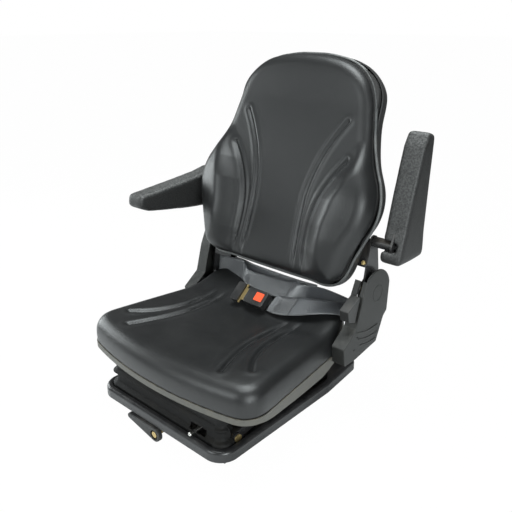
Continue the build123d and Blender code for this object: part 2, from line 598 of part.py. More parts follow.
seat_pan = seat_shell(0, tray_z, SEAT_RIM_Z) - seat_shell(SHEET, tray_z + SHEET, SEAT_RIM_Z + 1)
flange = extrude(seat_outline() - seat_outline(SHEET), 40)
flange_side = Polygon(
    (-214, 148), (-150, 136), (-60, 129), (40, 125), (70, 130), (110, 142), (125, 144), (125, 150), (-214, 150),
    align=None,
)
flange = Pos(0, 0, SEAT_RIM_Z - 40) * flange & side_plate(flange_side, -300, 300)
seat_pan += flange
nodes["seat_pan"] = seat_pan

# Seat cushion: moulded foam block under one skin, crowned edges and four sewn channels
cushion_z = tray_z + SHEET + FLOOR_GAP
crown = Pos(0, 0, SEAT_RIM_Z) * extrude(seat_outline(CUSHION_INSET - CUSHION_OVERHANG), 90)
top_slope = degrees(atan2(CUSHION_REAR_Z - CUSHION_FRONT_Z, SEAT_REAR_Y - SEAT_FRONT_Y))
top_plane = Pos(0, SEAT_FRONT_Y, CUSHION_FRONT_Z) * Rot(top_slope, 0, 0)
crown -= top_plane * Pos(0, 0, 100) * Box(900, 1400, 200)
crown = fillet(crown.faces().sort_by(Axis.Z)[-1].edges(), CUSHION_ROUND)
lower_foam = loft([
    Pos(0, 0, cushion_z) * seat_outline(CUSHION_INSET + SEAT_BEVEL_IN),
    Pos(0, 0, cushion_z + SEAT_BEVEL_Z) * seat_outline(CUSHION_INSET),
], ruled=True)
lower_foam += Pos(0, 0, cushion_z + SEAT_BEVEL_Z) * extrude(
    seat_outline(CUSHION_INSET), SEAT_RIM_Z + FLOOR_GAP - cushion_z - SEAT_BEVEL_Z
)
cushion = Pos(0, 0, FLOOR_GAP) * crown + lower_foam
seat_channels = (
    ((197, -152), (168, -114), (146, -60), (138, 5), (142, 120)),
    ((150, -192), (133, -148), (116, -93), (108, -30), (110, 90)),
)
for points in seat_channels:
    line = trace(Spline(*points), CHANNEL_WIDTH)
    cut = extrude(line, CUSHION_FRONT_Z + 20) & top_plane * Pos(0, 0, 50 - CHANNEL_DEPTH) * Box(900, 1400, 100)
    for side_cut in both_sides(cut):
        cushion -= side_cut
nodes["seat_cushion"] = cushion

# Backrest outline on the plane of the piping, in X and height up the slope
SLOPE = cos(radians(RECLINE))
half_back = [
    (70, 786), (134, 774), (176, 748), (199, 716), (204, 664), (212, 615), (228, 566),
    (249, 525), (256, 484), (247, 444), (233, 415), (226, 380), (210, 325),
]
half_hem = [(186, 307), (120, 304)]
CROWN_Z = 790.0
HEM_Z = 303.0


def back_outline(grow=0.0):
    top = (0, (CROWN_Z + grow - BACK_Z) / SLOPE)
    foot = (0, (HEM_Z - grow - BACK_Z) / SLOPE)
    shoulder = [(x, (z + grow - BACK_Z) / SLOPE) for x, z in half_back[:2]]
    side = [(x + grow, (z - BACK_Z) / SLOPE) for x, z in half_back[2:]]
    hem = [(x + grow / 2, (z - grow - BACK_Z) / SLOPE) for x, z in half_hem]
    half = shoulder + side + hem
    left = [(-x, v) for x, v in reversed(half)]
    return make_face(Spline(top, *half, foot, *left, periodic=True))


def on_back(sketch, front, depth):
    """A slab of the backrest: a sketch on the piping plane, from one depth back to another."""
    return extrude(BACK_PLANE.offset(depth) * sketch, front - depth, dir=BACK_PLANE.z_dir)


def rear_edges(part):
    return part.faces().sort_by(Axis(BACK_PLANE.origin, BACK_PLANE.z_dir))[0].edges()


def front_edges(part):
    return part.faces().sort_by(Axis(BACK_PLANE.origin, BACK_PLANE.z_dir))[-1].edges()


# Shell: moulded rear cover of the backrest, a dished tray open to the front
shell = on_back(back_outline(PIPING_PROUD - 1), -PIPING_T / 2, -SHELL_DEPTH)
shell = fillet(rear_edges(shell), SHELL_ROUND)
shell_hollow = on_back(back_outline(PIPING_PROUD - 1 - SHELL_WALL), 0, -SHELL_DEPTH + SHELL_WALL)
shell -= fillet(rear_edges(shell_hollow), SHELL_ROUND - SHELL_WALL)
nodes["back_shell"] = shell

# Piping: welt band trapped between the shell and the padding, all round
piping = on_back(back_outline(PIPING_PROUD), PIPING_T / 2, -PIPING_T / 2)
piping -= on_back(back_outline(PIPING_PROUD - WELT_DEPTH), PIPING_T, -PIPING_T)
nodes["back_piping"] = piping

# Core: moulded block behind the padding that fills the shell
core = on_back(back_outline(PIPING_PROUD - WELT_DEPTH - FLOOR_GAP), PIPING_T / 2, CORE_GAP + SHELL_WALL - SHELL_DEPTH)
nodes["back_core"] = core

# Back pad: moulded foam, a flat centre between two deep bolsters and a rolled top
pad = on_back(back_outline(-PAD_INSET), BACK_PAD_T, PIPING_T / 2)
pad = fillet(front_edges(pad), PAD_ROUND)
bolster_line = Spline((168, 290), (130, 245), (108, 190), (101, 130), (104, 70), (128, 8))
bolster_side = Polyline((128, 8), (300, 8), (300, 290), (168, 290))
bolster = make_face(bolster_line + bolster_side) & back_outline(-PAD_INSET - 1)
bolster = on_back(bolster, BOLSTER_T, BACK_PAD_T - PAD_ROUND)
bolster = fillet(front_edges(bolster), BOLSTER_ROUND)
roll = back_outline(-PAD_INSET - 1) & Pos(0, (745 - BACK_Z) / SLOPE + 100) * Rectangle(600, 200)
roll = on_back(roll, TOP_ROLL_T, BACK_PAD_T - PAD_ROUND)
roll = fillet(front_edges(roll), BOLSTER_ROUND - 6)
for piece in (*both_sides(bolster), roll):
    pad += piece
back_channels = (
    ((150, 376), (122, 330), (98, 277), (79, 210), (75, 147), (78, 74), (84, 26)),
)
for points in back_channels:
    line = trace(Spline(*points), CHANNEL_WIDTH)
    for side_cut in both_sides(on_back(line, BACK_PAD_T + 30, BACK_PAD_T - CHANNEL_DEPTH)):
        pad -= side_cut
nodes["back_pad"] = pad

# Recliner: fixed plates bolted under the pan, with the geared disc and pin of each side
plate_sketch = strap_between(RECLINE_Y, RECLINE_Z, RECLINE_HEAD_R, 178, FRAME_Z + 26, 26)
plate_sketch += strap_between(178, FRAME_Z + 26, 26, 130, FRAME_Z + 16, 16)
plate_sketch += Pos(155, FRAME_Z + 10) * Rectangle(86, 20)
plate_sketch -= Pos(RECLINE_Y, RECLINE_Z) * Circle(RECLINE_PIN_R)
plate_sketch -= Pos(188, 212) * Circle(11)
fixed_plate = side_plate(plate_sketch, PLATE_X, PLATE_X + PLATE_T)
foot_inner_x = FRAME_HALF_WIDTH + SIDE_GAP
fixed_plate += box_at(foot_inner_x, PLATE_X + PLATE_T, 112, 198, FRAME_Z, FRAME_Z + FRAME_T)
nodes["recliner_plate_left"], nodes["recliner_plate_right"] = both_sides(fixed_plate)

arm_x = PLATE_X + PLATE_T + DISC_T
disc = pin_x(RECLINE_HEAD_R - 4, arm_x - DISC_T, arm_x, RECLINE_Y, RECLINE_Z)
disc -= pin_x(RECLINE_PIN_R, arm_x - DISC_T - 1, arm_x + 1, RECLINE_Y, RECLINE_Z)
nodes["recliner_discs"] = group(*both_sides(disc))
arm_x += FLOOR_GAP
lever_x = arm_x + SIDE_ARM_T + SIDE_GAP
LEVER_PLATE_T = 3.5
nut_x = lever_x + LEVER_PLATE_T + SIDE_GAP
recline_pin = pin_x(RECLINE_PIN_R, PLATE_X - 3, nut_x + 5, RECLINE_Y, RECLINE_Z)
recline_pin += Pos(nut_x, RECLINE_Y, RECLINE_Z) * Rot(0, 90, 0) * extrude(RegularPolygon(12, 6), 4.5)
recline_pin += pin_x(11, PLATE_X - 3, PLATE_X, RECLINE_Y, RECLINE_Z)
nodes["recline_pins"] = group(*both_sides(recline_pin))

# Side arms: plates that swing on the recline pins and carry the shell and the armrests
arm_sketch = strap_between(RECLINE_Y, RECLINE_Z, RECLINE_HEAD_R, ARMREST_Y, ARMREST_Z, 14)
arm_sketch -= Pos(RECLINE_Y, RECLINE_Z) * Circle(RECLINE_PIN_R + RUNNING_FIT)
side_arm = side_plate(arm_sketch, arm_x, arm_x + SIDE_ARM_T)
tab = Pos((150 + arm_x + SIDE_ARM_T) / 2, 95) * RectangleRounded(arm_x + SIDE_ARM_T - 150, 66, 5)
side_arm += on_back(tab, -SHELL_DEPTH, -SHELL_DEPTH - TAB_T)
nodes["side_arm_left"], nodes["side_arm_right"] = both_sides(side_arm)
tab_bolts = []
for bolt_u, bolt_v in ((166, 76), (166, 114), (196, 76), (196, 114)):
    head = Pos(bolt_u, bolt_v) * RegularPolygon(7.5, 6)
    tab_bolts += both_sides(on_back(head, -SHELL_DEPTH - TAB_T, -SHELL_DEPTH - TAB_T - 5))
front_head = Pos(234.8, 72) * RegularPolygon(5.4, 6)
tab_bolts += both_sides(on_back(front_head, -SHELL_DEPTH + 5, -SHELL_DEPTH))
nodes["side_arm_bolts"] = group(*tab_bolts)

# Side covers: moulded grey shells over the recliners, open inwards and round the top
cover_line = Polyline(
    (160, 330), (143.5, 294), (123.5, 222), (77, 188), (84, 144), (126, 144), (212, 157),
    (237.5, 214.6), (251, 226), (254, 299),
)
cover_head = ThreePointArc((254, 299), (214, 340), (160, 330))
cover_outline = make_face(cover_line + cover_head)
cover_outline = fillet(cover_outline.vertices(), 5)
cover = side_plate(cover_outline, COVER_X, COVER_X + COVER_W)
outer_rim = cover.faces().sort_by(Axis.X)[-1].edges()
cover = fillet(outer_rim, 2.0)
cover -= side_plate(offset(cover_outline, amount=-COVER_WALL), COVER_X - 1, COVER_X + COVER_W - COVER_WALL)
arm_way = Polygon((RECLINE_Y, RECLINE_Z), (102, 372), (RECLINE_Y, 470), (330, 350), align=None)
cover -= side_plate(arm_way, COVER_X - 1, COVER_X + COVER_W - COVER_WALL)
for screw_y, screw_z in ((118, 172), (128, 200)):
    post = pin_x(5, PLATE_X + PLATE_T, COVER_X + COVER_W - 1, screw_y, screw_z)
    if screw_z > 190:
        post = pin_x(5, COVER_X + 12, COVER_X + COVER_W - 1, screw_y, screw_z)
    cover += post
    cover -= pin_x(2.2, COVER_X, COVER_X + COVER_W + 1, screw_y, screw_z)
embossed = pin_x(20, COVER_X + COVER_W - 0.6, COVER_X + COVER_W + 1, RECLINE_Y, RECLINE_Z)
embossed -= pin_x(18.5, COVER_X, COVER_X + COVER_W + 2, RECLINE_Y, RECLINE_Z)
cover -= embossed
cover -= side_plate(offset(plate_sketch, amount=1.2), COVER_X - 1, PLATE_X + PLATE_T + 0.6)
lever_cover = cover - box_at(lever_x - 2, lever_x + LEVER_PLATE_T + 2, 100, 172, 256, 328)
nodes["side_cover_left"] = lever_cover
nodes["side_cover_right"] = mirror(cover, about=Plane.YZ)

# Recline lever: plate on the right pin, with a wedge grip outside the cover's slot
lever_sketch = strap_between(RECLINE_Y, RECLINE_Z, 13, 138, 270, 8) - Pos(RECLINE_Y, RECLINE_Z) * Circle(
    RECLINE_PIN_R + RUNNING_FIT
)
recline_lever = side_plate(lever_sketch, lever_x, lever_x + LEVER_PLATE_T)
grip_outline = Polygon((139, 299), (92, 273), (97, 247), (122, 237), align=None)
grip = side_plate(fillet(grip_outline.vertices(), 3), COVER_X + 6, COVER_X + COVER_W - 4)
recline_lever += fillet(grip.faces().sort_by(Axis.X)[-1].edges(), 1.5)
nodes["recline_lever"] = recline_lever

# Armrests: foam pad round a steel bracket, turning on a shaft of the side arm
pad_outline = Polygon(
    (-42, 461), (90, 474), (170, 483), (222, 494), (232, 392), (165, 403), (86, 406), (35, 410),
    (-15, 418), (-46, 432), align=None,
)
pad_outline = fillet(pad_outline.vertices(), 9)
pad_inner_x = ARMREST_X - ARMREST_W / 2
armrest = side_plate(pad_outline, pad_inner_x, pad_inner_x + ARMREST_W)
armrest = fillet(armrest.faces().sort_by(Axis.X)[0].edges(), 8)
armrest = fillet(armrest.faces().sort_by(Axis.X)[-1].edges(), 8)
bracket_sketch = strap_between(ARMREST_Y, ARMREST_Z, 20, ARMREST_Y - 150, ARMREST_Z + 34, 10)
bracket_sketch -= Pos(ARMREST_Y, ARMREST_Z) * Circle(HUB_R)
armrest_plate = side_plate(bracket_sketch, ARMREST_X - BRACKET_T / 2, ARMREST_X + BRACKET_T / 2)
hub_inner_x = arm_x + SIDE_ARM_T + SIDE_GAP
hub = pin_x(HUB_R, hub_inner_x, ARMREST_X + BRACKET_T / 2, ARMREST_Y, ARMREST_Z)
bore = pin_x(ARMREST_PIN_R + RUNNING_FIT, 0, ARMREST_X + 40, ARMREST_Y, ARMREST_Z)
armrest -= side_plate(bracket_sketch, ARMREST_X - BRACKET_T / 2, ARMREST_X + BRACKET_T / 2)
armrest -= pin_x(HUB_R, 0, ARMREST_X + BRACKET_T / 2, ARMREST_Y, ARMREST_Z)
armrest -= pin_x(ARMREST_PIN_R + 2, ARMREST_X, ARMREST_X + 12, ARMREST_Y, ARMREST_Z)
armrest_plate = armrest_plate + hub - bore
shaft_pin = pin_x(ARMREST_PIN_R, arm_x + SIDE_ARM_T, ARMREST_X + BRACKET_T / 2 + 5, ARMREST_Y, ARMREST_Z)
nodes["armrest_shafts"] = group(*both_sides(shaft_pin))
raised = Pos(0, ARMREST_Y, ARMREST_Z) * Rot(-ARMREST_SWING, 0, 0) * Pos(0, -ARMREST_Y, -ARMREST_Z)
nodes["armrest_pad_left"] = raised * armrest
nodes["armrest_bracket_left"] = raised * armrest_plate
nodes["armrest_pad_right"] = mirror(armrest, about=Plane.YZ)
nodes["armrest_bracket_right"] = mirror(armrest_plate, about=Plane.YZ)

# Lap belt: anchor tags on the recliner plates, webbing on edge across the back of the cushion
anchor_sketch = strap_between(196, 176, 12, 196, 204, 14)
anchor = side_plate(anchor_sketch, PLATE_X - 3, PLATE_X)
anchor -= box_at(PLATE_X - 5, PLATE_X + 1, 192, 195, 186, 214)
nodes["belt_anchors"] = group(*both_sides(anchor))


def webbing(path, z, lean):
    ribbon = trace(Spline(*path), WEB_T)
    return Pos(0, 0, z) * extrude(ribbon, WEB_W, dir=lean)


long_path = ((-222, 200), (-206, 166), (-160, 158), (-100, 162), (-30, 160), (40, 166), (84, 176))
nodes["belt_webbing_right"] = webbing(long_path, 208, (0.0, 0.15, 0.99))
short_path = ((46, 88), (95, 96), (130, 112), (172, 146), (222, 200))
nodes["belt_webbing_left"] = webbing(short_path, 209, (0.0, 0.5, 0.866))

BUCKLE_PLANE = Plane(origin=(8, 74, 236), x_dir=(1, 0, 0), z_dir=(0, -0.65, 0.76))
buckle = extrude(BUCKLE_PLANE.offset(-10) * RectangleRounded(60, 42, 6), 20)
buckle = fillet(buckle.edges().filter_by(Axis.X), 2)
button_well = extrude(BUCKLE_PLANE.offset(4) * Pos(10, 2) * RectangleRounded(24.6, 22.6, 2), 10)
buckle -= button_well
tongue_slot = BUCKLE_PLANE * Pos(-24, 0, 0) * Box(20, 34, 3.2)
nodes["buckle_body"] = buckle - tongue_slot
nodes["buckle_button"] = extrude(BUCKLE_PLANE.offset(7) * Pos(10, 2) * RectangleRounded(24, 22, 2), 4)
cover_block = extrude(BUCKLE_PLANE.offset(-7) * Pos(-59, 0) * RectangleRounded(24, 50, 4), 14)
tongue = BUCKLE_PLANE * Pos(-40, 0, 0) * Box(34, 32, 2.6)
tongue += BUCKLE_PLANE * Pos(-45, 0, 0) * Box(5, 52, 2.6)
nodes["belt_tongue"] = tongue
nodes["tongue_cover"] = cover_block - tongue

for name, part in nodes.items():
    export_step(part, f"parts/{name}.step")
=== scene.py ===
import bpy
import bmesh
import math
from mathutils import Matrix, Vector
from mathutils.kdtree import KDTree


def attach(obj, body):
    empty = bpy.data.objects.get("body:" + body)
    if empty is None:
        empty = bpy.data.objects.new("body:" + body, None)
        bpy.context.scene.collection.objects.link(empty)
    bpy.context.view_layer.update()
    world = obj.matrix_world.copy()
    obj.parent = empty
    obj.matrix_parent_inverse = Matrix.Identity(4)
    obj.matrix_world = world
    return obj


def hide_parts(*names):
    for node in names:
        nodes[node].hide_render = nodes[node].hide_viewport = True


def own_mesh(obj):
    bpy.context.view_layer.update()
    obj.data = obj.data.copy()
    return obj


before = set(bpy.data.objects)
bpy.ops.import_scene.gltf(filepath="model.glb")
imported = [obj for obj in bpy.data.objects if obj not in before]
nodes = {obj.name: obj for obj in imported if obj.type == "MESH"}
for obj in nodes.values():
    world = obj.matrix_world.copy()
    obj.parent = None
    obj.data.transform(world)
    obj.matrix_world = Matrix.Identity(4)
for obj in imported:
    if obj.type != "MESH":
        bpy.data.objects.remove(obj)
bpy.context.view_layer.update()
collection = bpy.context.scene.collection

# Camera, set where the photograph was taken from: a little above the seat, off its
# front left corner, with the lens found from the outlines of base, pan and backrest.
AZIMUTH = math.radians(42.0)
PITCH = math.radians(21.3)
SENSOR_WIDTH = 36.0
LENS = 43.13
CAMERA_PLACE = (0.9055, -0.9270, 0.8708)
toward = Vector((
    -math.sin(AZIMUTH) * math.cos(PITCH),
    math.cos(AZIMUTH) * math.cos(PITCH),
    -math.sin(PITCH),
))
camera_data = bpy.data.cameras.new("camera")
camera_data.sensor_width = SENSOR_WIDTH
camera_data.lens = LENS
camera = bpy.data.objects.new("camera", camera_data)
camera.location = CAMERA_PLACE
camera.rotation_euler = toward.to_track_quat("-Z", "Y").to_euler()
collection.objects.link(camera)
bpy.context.scene.camera = camera
bpy.context.scene.view_settings.view_transform = "Standard"

# White studio: a seamless floor that the camera sees as white and that keeps the seat's
# shadow, a dim surround in the reflections, and soft boxes over, left, right and in front.
FLOOR_HALF = 30.0
FLOOR_WHITE = 0.86
FLOOR_SEEN_WHITE = 0.99
SURROUND_MIRRORED = 0.14
SURROUND_LEVEL = 0.13
LAMP_COLOUR = (0.93, 0.99, 1.0)
LAMP_AIM = Vector((0.0, 0.0, 0.4))
LAMPS = (
    ("overhead_box", (0.1, 0.05, 2.3), 60.0, 1.4),
    ("left_box", (-2.2, -0.45, 0.75), 30.0, 1.2),
    ("right_box", (1.9, -1.0, 0.9), 34.0, 1.1),
    ("front_box", (-0.3, -1.9, 1.1), 19.0, 0.9),
)
floor_mesh = bpy.data.meshes.new("studio_floor")
bm = bmesh.new()
bmesh.ops.create_grid(bm, x_segments=1, y_segments=1, size=FLOOR_HALF)
bm.to_mesh(floor_mesh)
bm.free()
studio_floor = bpy.data.objects.new("studio_floor", floor_mesh)
collection.objects.link(studio_floor)
floor_finish = bpy.data.materials.new("studio_white")
floor_finish.use_nodes = True
tree = floor_finish.node_tree
tree.nodes.clear()
matt = tree.nodes.new("ShaderNodeBsdfDiffuse")
matt.inputs["Color"].default_value = (FLOOR_WHITE, FLOOR_WHITE, FLOOR_WHITE, 1.0)
white = tree.nodes.new("ShaderNodeEmission")
white.inputs["Color"].default_value = (1.0, 1.0, 1.0, 1.0)
path = tree.nodes.new("ShaderNodeLightPath")
seen = tree.nodes.new("ShaderNodeMath")
seen.operation = "MULTIPLY"
seen.inputs[1].default_value = FLOOR_SEEN_WHITE
both = tree.nodes.new("ShaderNodeMixShader")
floor_out = tree.nodes.new("ShaderNodeOutputMaterial")
tree.links.new(path.outputs["Is Camera Ray"], seen.inputs[0])
tree.links.new(seen.outputs[0], both.inputs["Fac"])
tree.links.new(matt.outputs[0], both.inputs[1])
tree.links.new(white.outputs[0], both.inputs[2])
tree.links.new(both.outputs[0], floor_out.inputs["Surface"])
floor_mesh.materials.append(floor_finish)

world = bpy.data.worlds.new("studio")
bpy.context.scene.world = world
world.use_nodes = True
tree = world.node_tree
tree.nodes.clear()
sky = tree.nodes.new("ShaderNodeBackground")
sky.inputs["Color"].default_value = (1.0, 1.0, 1.0, 1.0)
path = tree.nodes.new("ShaderNodeLightPath")
direct = tree.nodes.new("ShaderNodeMath")
direct.operation = "MAXIMUM"
mirrored = tree.nodes.new("ShaderNodeMath")
mirrored.operation = "MULTIPLY"
mirrored.inputs[1].default_value = SURROUND_MIRRORED
level = tree.nodes.new("ShaderNodeMath")
level.operation = "MAXIMUM"
level.inputs[1].default_value = SURROUND_LEVEL
world_out = tree.nodes.new("ShaderNodeOutputWorld")
tree.links.new(path.outputs["Is Glossy Ray"], mirrored.inputs[0])
tree.links.new(path.outputs["Is Camera Ray"], direct.inputs[0])
tree.links.new(mirrored.outputs[0], direct.inputs[1])
tree.links.new(direct.outputs[0], level.inputs[0])
tree.links.new(level.outputs[0], sky.inputs["Strength"])
tree.links.new(sky.outputs[0], world_out.inputs["Surface"])

for lamp_name, lamp_place, power, width in LAMPS:
    lamp_data = bpy.data.lights.new(lamp_name, "AREA")
    lamp_data.shape = "DISK"
    lamp_data.size = width
    lamp_data.energy = power
    lamp_data.color = LAMP_COLOUR
    lamp = bpy.data.objects.new(lamp_name, lamp_data)
    lamp.location = lamp_place
    lamp.rotation_euler = (LAMP_AIM - Vector(lamp_place)).to_track_quat("-Z", "Y").to_euler()
    collection.objects.link(lamp)


# Floor rails, cross straps and slide runners: rolled steel channels, sprayed black before
# assembly. The coat is thin, lightly orange peeled, and gathers dust on what faces up.
def dust_and_top_light_group():
    """Coat colour with dust in patches, thick on what faces up, and the roughness of both. Pale and heavy,
    the up facing dust also serves as painted top light.
    """
    group = bpy.data.node_groups.new("dust_and_top_light", "ShaderNodeTree")
    face = group.interface
    for socket, kind, value in (
        ("Coat", "NodeSocketColor", (0.02, 0.02, 0.02, 1.0)),
        ("Dust", "NodeSocketColor", (0.2, 0.17, 0.13, 1.0)),
        ("Amount", "NodeSocketFloat", 0.3),
        ("Roughness", "NodeSocketFloat", 0.4),
        ("Patch Size", "NodeSocketFloat", 30.0),
    ):
        made = face.new_socket(name=socket, in_out="INPUT", socket_type=kind)
        made.default_value = value
    face.new_socket(name="Color", in_out="OUTPUT", socket_type="NodeSocketColor")
    face.new_socket(name="Roughness", in_out="OUTPUT", socket_type="NodeSocketFloat")
    n = group.nodes
    link = group.links.new
    given = n.new("NodeGroupInput")
    out = n.new("NodeGroupOutput")
    place = n.new("ShaderNodeTexCoord")
    patches = n.new("ShaderNodeTexNoise")
    patches.inputs["Detail"].default_value = 5.0
    patches.inputs["Roughness"].default_value = 0.62
    facing = n.new("ShaderNodeNewGeometry")
    axis = n.new("ShaderNodeSeparateXYZ")
    upward = n.new("ShaderNodeMapRange")
    upward.inputs["From Min"].default_value = 0.05
    upward.inputs["From Max"].default_value = 0.95
    upward.inputs["To Min"].default_value = 0.14
    spots = n.new("ShaderNodeMapRange")
    spots.inputs["From Min"].default_value = 0.38
    spots.inputs["From Max"].default_value = 0.72
    lay = n.new("ShaderNodeMath")
    lay.operation = "MULTIPLY"
    much = n.new("ShaderNodeMath")
    much.operation = "MULTIPLY"
    tint = n.new("ShaderNodeMix")
    tint.data_type = "RGBA"
    duller = n.new("ShaderNodeMath")
    duller.operation = "MULTIPLY_ADD"
    duller.inputs[1].default_value = 0.4
    link(place.outputs["Object"], patches.inputs["Vector"])
    link(given.outputs["Patch Size"], patches.inputs["Scale"])
    link(facing.outputs["Normal"], axis.inputs[0])
    link(axis.outputs["Z"], upward.inputs["Value"])
    link(patches.outputs["Fac"], spots.inputs["Value"])
    link(upward.outputs[0], lay.inputs[0])
    link(spots.outputs[0], lay.inputs[1])
    link(lay.outputs[0], much.inputs[0])
    link(given.outputs["Amount"], much.inputs[1])
    link(much.outputs[0], tint.inputs["Factor"])
    link(given.outputs["Coat"], tint.inputs["A"])
    link(given.outputs["Dust"], tint.inputs["B"])
    link(tint.outputs["Result"], out.inputs["Color"])
    link(much.outputs[0], duller.inputs[0])
    link(given.outputs["Roughness"], duller.inputs[2])
    link(duller.outputs[0], out.inputs["Roughness"])
    return group


def grain_group():
    """Height of a moulded grain: pebbles and fine grain, on slow waves."""
    group = bpy.data.node_groups.new("moulded_grain", "ShaderNodeTree")
    face = group.interface
    for socket, value in (("Grain Size", 900.0), ("Pebble", 0.5), ("Waves", 12.0)):
        made = face.new_socket(name=socket, in_out="INPUT", socket_type="NodeSocketFloat")
        made.default_value = value
    face.new_socket(name="Height", in_out="OUTPUT", socket_type="NodeSocketFloat")
    n = group.nodes
    link = group.links.new
    given = n.new("NodeGroupInput")
    out = n.new("NodeGroupOutput")
    place = n.new("ShaderNodeTexCoord")
    pebbles = n.new("ShaderNodeTexVoronoi")
    pebbles.feature = "SMOOTH_F1"
    fine = n.new("ShaderNodeTexNoise")
    fine.inputs["Detail"].default_value = 3.0
    slow = n.new("ShaderNodeTexNoise")
    slow.inputs["Detail"].default_value = 2.0
    blend = n.new("ShaderNodeMix")
    total = n.new("ShaderNodeMath")
    total.operation = "MULTIPLY_ADD"
    total.inputs[1].default_value = 1.6
    for texture in (pebbles, fine, slow):
        link(place.outputs["Object"], texture.inputs["Vector"])
    link(given.outputs["Grain Size"], pebbles.inputs["Scale"])
    link(given.outputs["Grain Size"], fine.inputs["Scale"])
    link(given.outputs["Waves"], slow.inputs["Scale"])
    link(given.outputs["Pebble"], blend.inputs["Factor"])
    link(fine.outputs["Fac"], blend.inputs["A"])
    link(pebbles.outputs["Distance"], blend.inputs["B"])
    link(slow.outputs["Fac"], total.inputs[0])
    link(blend.outputs["Result"], total.inputs[2])
    link(total.outputs[0], out.inputs["Height"])
    return group


dust_and_top_light = dust_and_top_light_group()
moulded_grain = grain_group()


def coated(name, coat, dust, amount, roughness, grain, depth, metal=0.0, pebble=0.5, patch=30.0):
    """A dusty coat over moulded grain, which stands as many metres high as depth says."""
    finish = bpy.data.materials.new(name)
    finish.use_nodes = True
    n = finish.node_tree.nodes
    link = finish.node_tree.links.new
    shader = n["Principled BSDF"]
    shader.inputs["Metallic"].default_value = metal
    dust_and_light_node = n.new("ShaderNodeGroup")
    dust_and_light_node.node_tree = dust_and_top_light
    dust_and_light_node.inputs["Coat"].default_value = (*coat, 1.0)
    dust_and_light_node.inputs["Dust"].default_value = (*dust, 1.0)
    dust_and_light_node.inputs["Amount"].default_value = amount
    dust_and_light_node.inputs["Roughness"].default_value = roughness
    dust_and_light_node.inputs["Patch Size"].default_value = patch
    grained = n.new("ShaderNodeGroup")
    grained.node_tree = moulded_grain
    grained.inputs["Grain Size"].default_value = grain
    grained.inputs["Pebble"].default_value = pebble
    bump = n.new("ShaderNodeBump")
    bump.inputs["Distance"].default_value = depth
    link(dust_and_light_node.outputs["Color"], shader.inputs["Base Color"])
    link(dust_and_light_node.outputs["Roughness"], shader.inputs["Roughness"])
    link(grained.outputs["Height"], bump.inputs["Height"])
    link(bump.outputs["Normal"], shader.inputs["Normal"])
    return finish


def dress(finish, *names):
    """Gives whole nodes of the frame their finish."""
    for node_name in names:
        for holder in nodes[node_name].material_slots:
            holder.material = finish


rail_paint = coated(
    "rail_paint", coat=(0.018, 0.018, 0.019), dust=(0.16, 0.14, 0.11),
    amount=0.5, roughness=0.38, grain=420.0, depth=0.0001,
)
dress(
    rail_paint, "floor_rail_left", "floor_rail_right", "rail_cross_straps", "slide_runner_left",
    "slide_runner_right", "shaft_hangers",
)

# Slide shoes and scissor rollers: turned and moulded nylon, undyed, with grease worked
# into them where they run.
nylon = coated(
    "greased_nylon", coat=(0.42, 0.40, 0.33), dust=(0.10, 0.08, 0.05),
    amount=0.5, roughness=0.42, grain=260.0, depth=0.0001,
)
dress(nylon, "slide_shoes", "outer_rollers", "inner_rollers")

# Rack, shaft, pins, bolts and recliner discs: steel, yellow zinc plated, gone dull and
# brown in places.
yellow_zinc = coated(
    "yellow_zinc", coat=(0.60, 0.45, 0.20), dust=(0.22, 0.15, 0.08),
    amount=0.7, roughness=0.30, grain=300.0, depth=0.00008, metal=0.9,
)
dress(
    yellow_zinc, "latch_rack", "latch_shaft", "slide_lever_bolt", "upper_pivot_pins", "recliner_discs",
    "recline_pins", "side_arm_bolts", "belt_anchors", "spring_seats", "lower_pivot_pins",
)

# Base pan and its skirt: a black coated steel pressing with a soft moulded ring pressed
# over its wall. The ring has a satin skin and grey dust on its round top.
pan_coat = coated(
    "pan_coat", coat=(0.02, 0.02, 0.02), dust=(0.14, 0.12, 0.10),
    amount=0.55, roughness=0.42, grain=300.0, depth=0.0001,
)
dress(pan_coat, "base_pan", "lower_tracks")
skirt_skin = coated(
    "skirt_skin", coat=(0.013, 0.013, 0.014), dust=(0.10, 0.095, 0.09),
    amount=0.22, roughness=0.28, grain=700.0, depth=0.00015,
)
dress(skirt_skin, "base_skirt")

# Slide lever: a glass filled nylon moulding, black, scuffed on its face by boots, held on
# the latch shaft by one bolt. The recline lever is moulded from the same plastic.
lever_skin = coated(
    "lever_skin", coat=(0.016, 0.016, 0.016), dust=(0.09, 0.08, 0.07),
    amount=0.5, roughness=0.45, grain=500.0, depth=0.00015,
)
dress(lever_skin, "slide_lever", "recline_lever")

# Scissor frames, upper frame and brackets: cut and folded plate, welded, and sprayed
# with gloss black.
gloss_black = coated(
    "gloss_black", coat=(0.016, 0.016, 0.017), dust=(0.15, 0.12, 0.09),
    amount=0.35, roughness=0.26, grain=380.0, depth=0.0001,
)
dress(
    gloss_black, "armrest_shafts", "outer_scissor_frame", "inner_scissor_frame", "upper_frame",
    "pivot_brackets", "damper_bracket", "weight_lever_post", "damper_tube", "recliner_plate_left",
    "recliner_plate_right", "side_arm_left", "side_arm_right", "armrest_bracket_left",
    "armrest_bracket_right",
)

# Weight rod and damper rod: drawn and ground steel bar, left bright, with fine rings
# from the grinding.
bright_bar = coated(
    "bright_bar", coat=(0.62, 0.61, 0.58), dust=(0.25, 0.2, 0.14),
    amount=0.3, roughness=0.24, grain=900.0, depth=0.00004, metal=1.0,
)
dress(bright_bar, "weight_lever", "damper_rod")


# Springs: round wire wound to a barrel and coated black. Each is wound here by turning
# a ring of wire section up round the spring's axis.
def keep_smooth(bm, mesh):
    """Shades a shaped skin smooth and hands it to its mesh."""
    for face in bm.faces:
        face.smooth = True
    bm.to_mesh(mesh)
    bm.free()


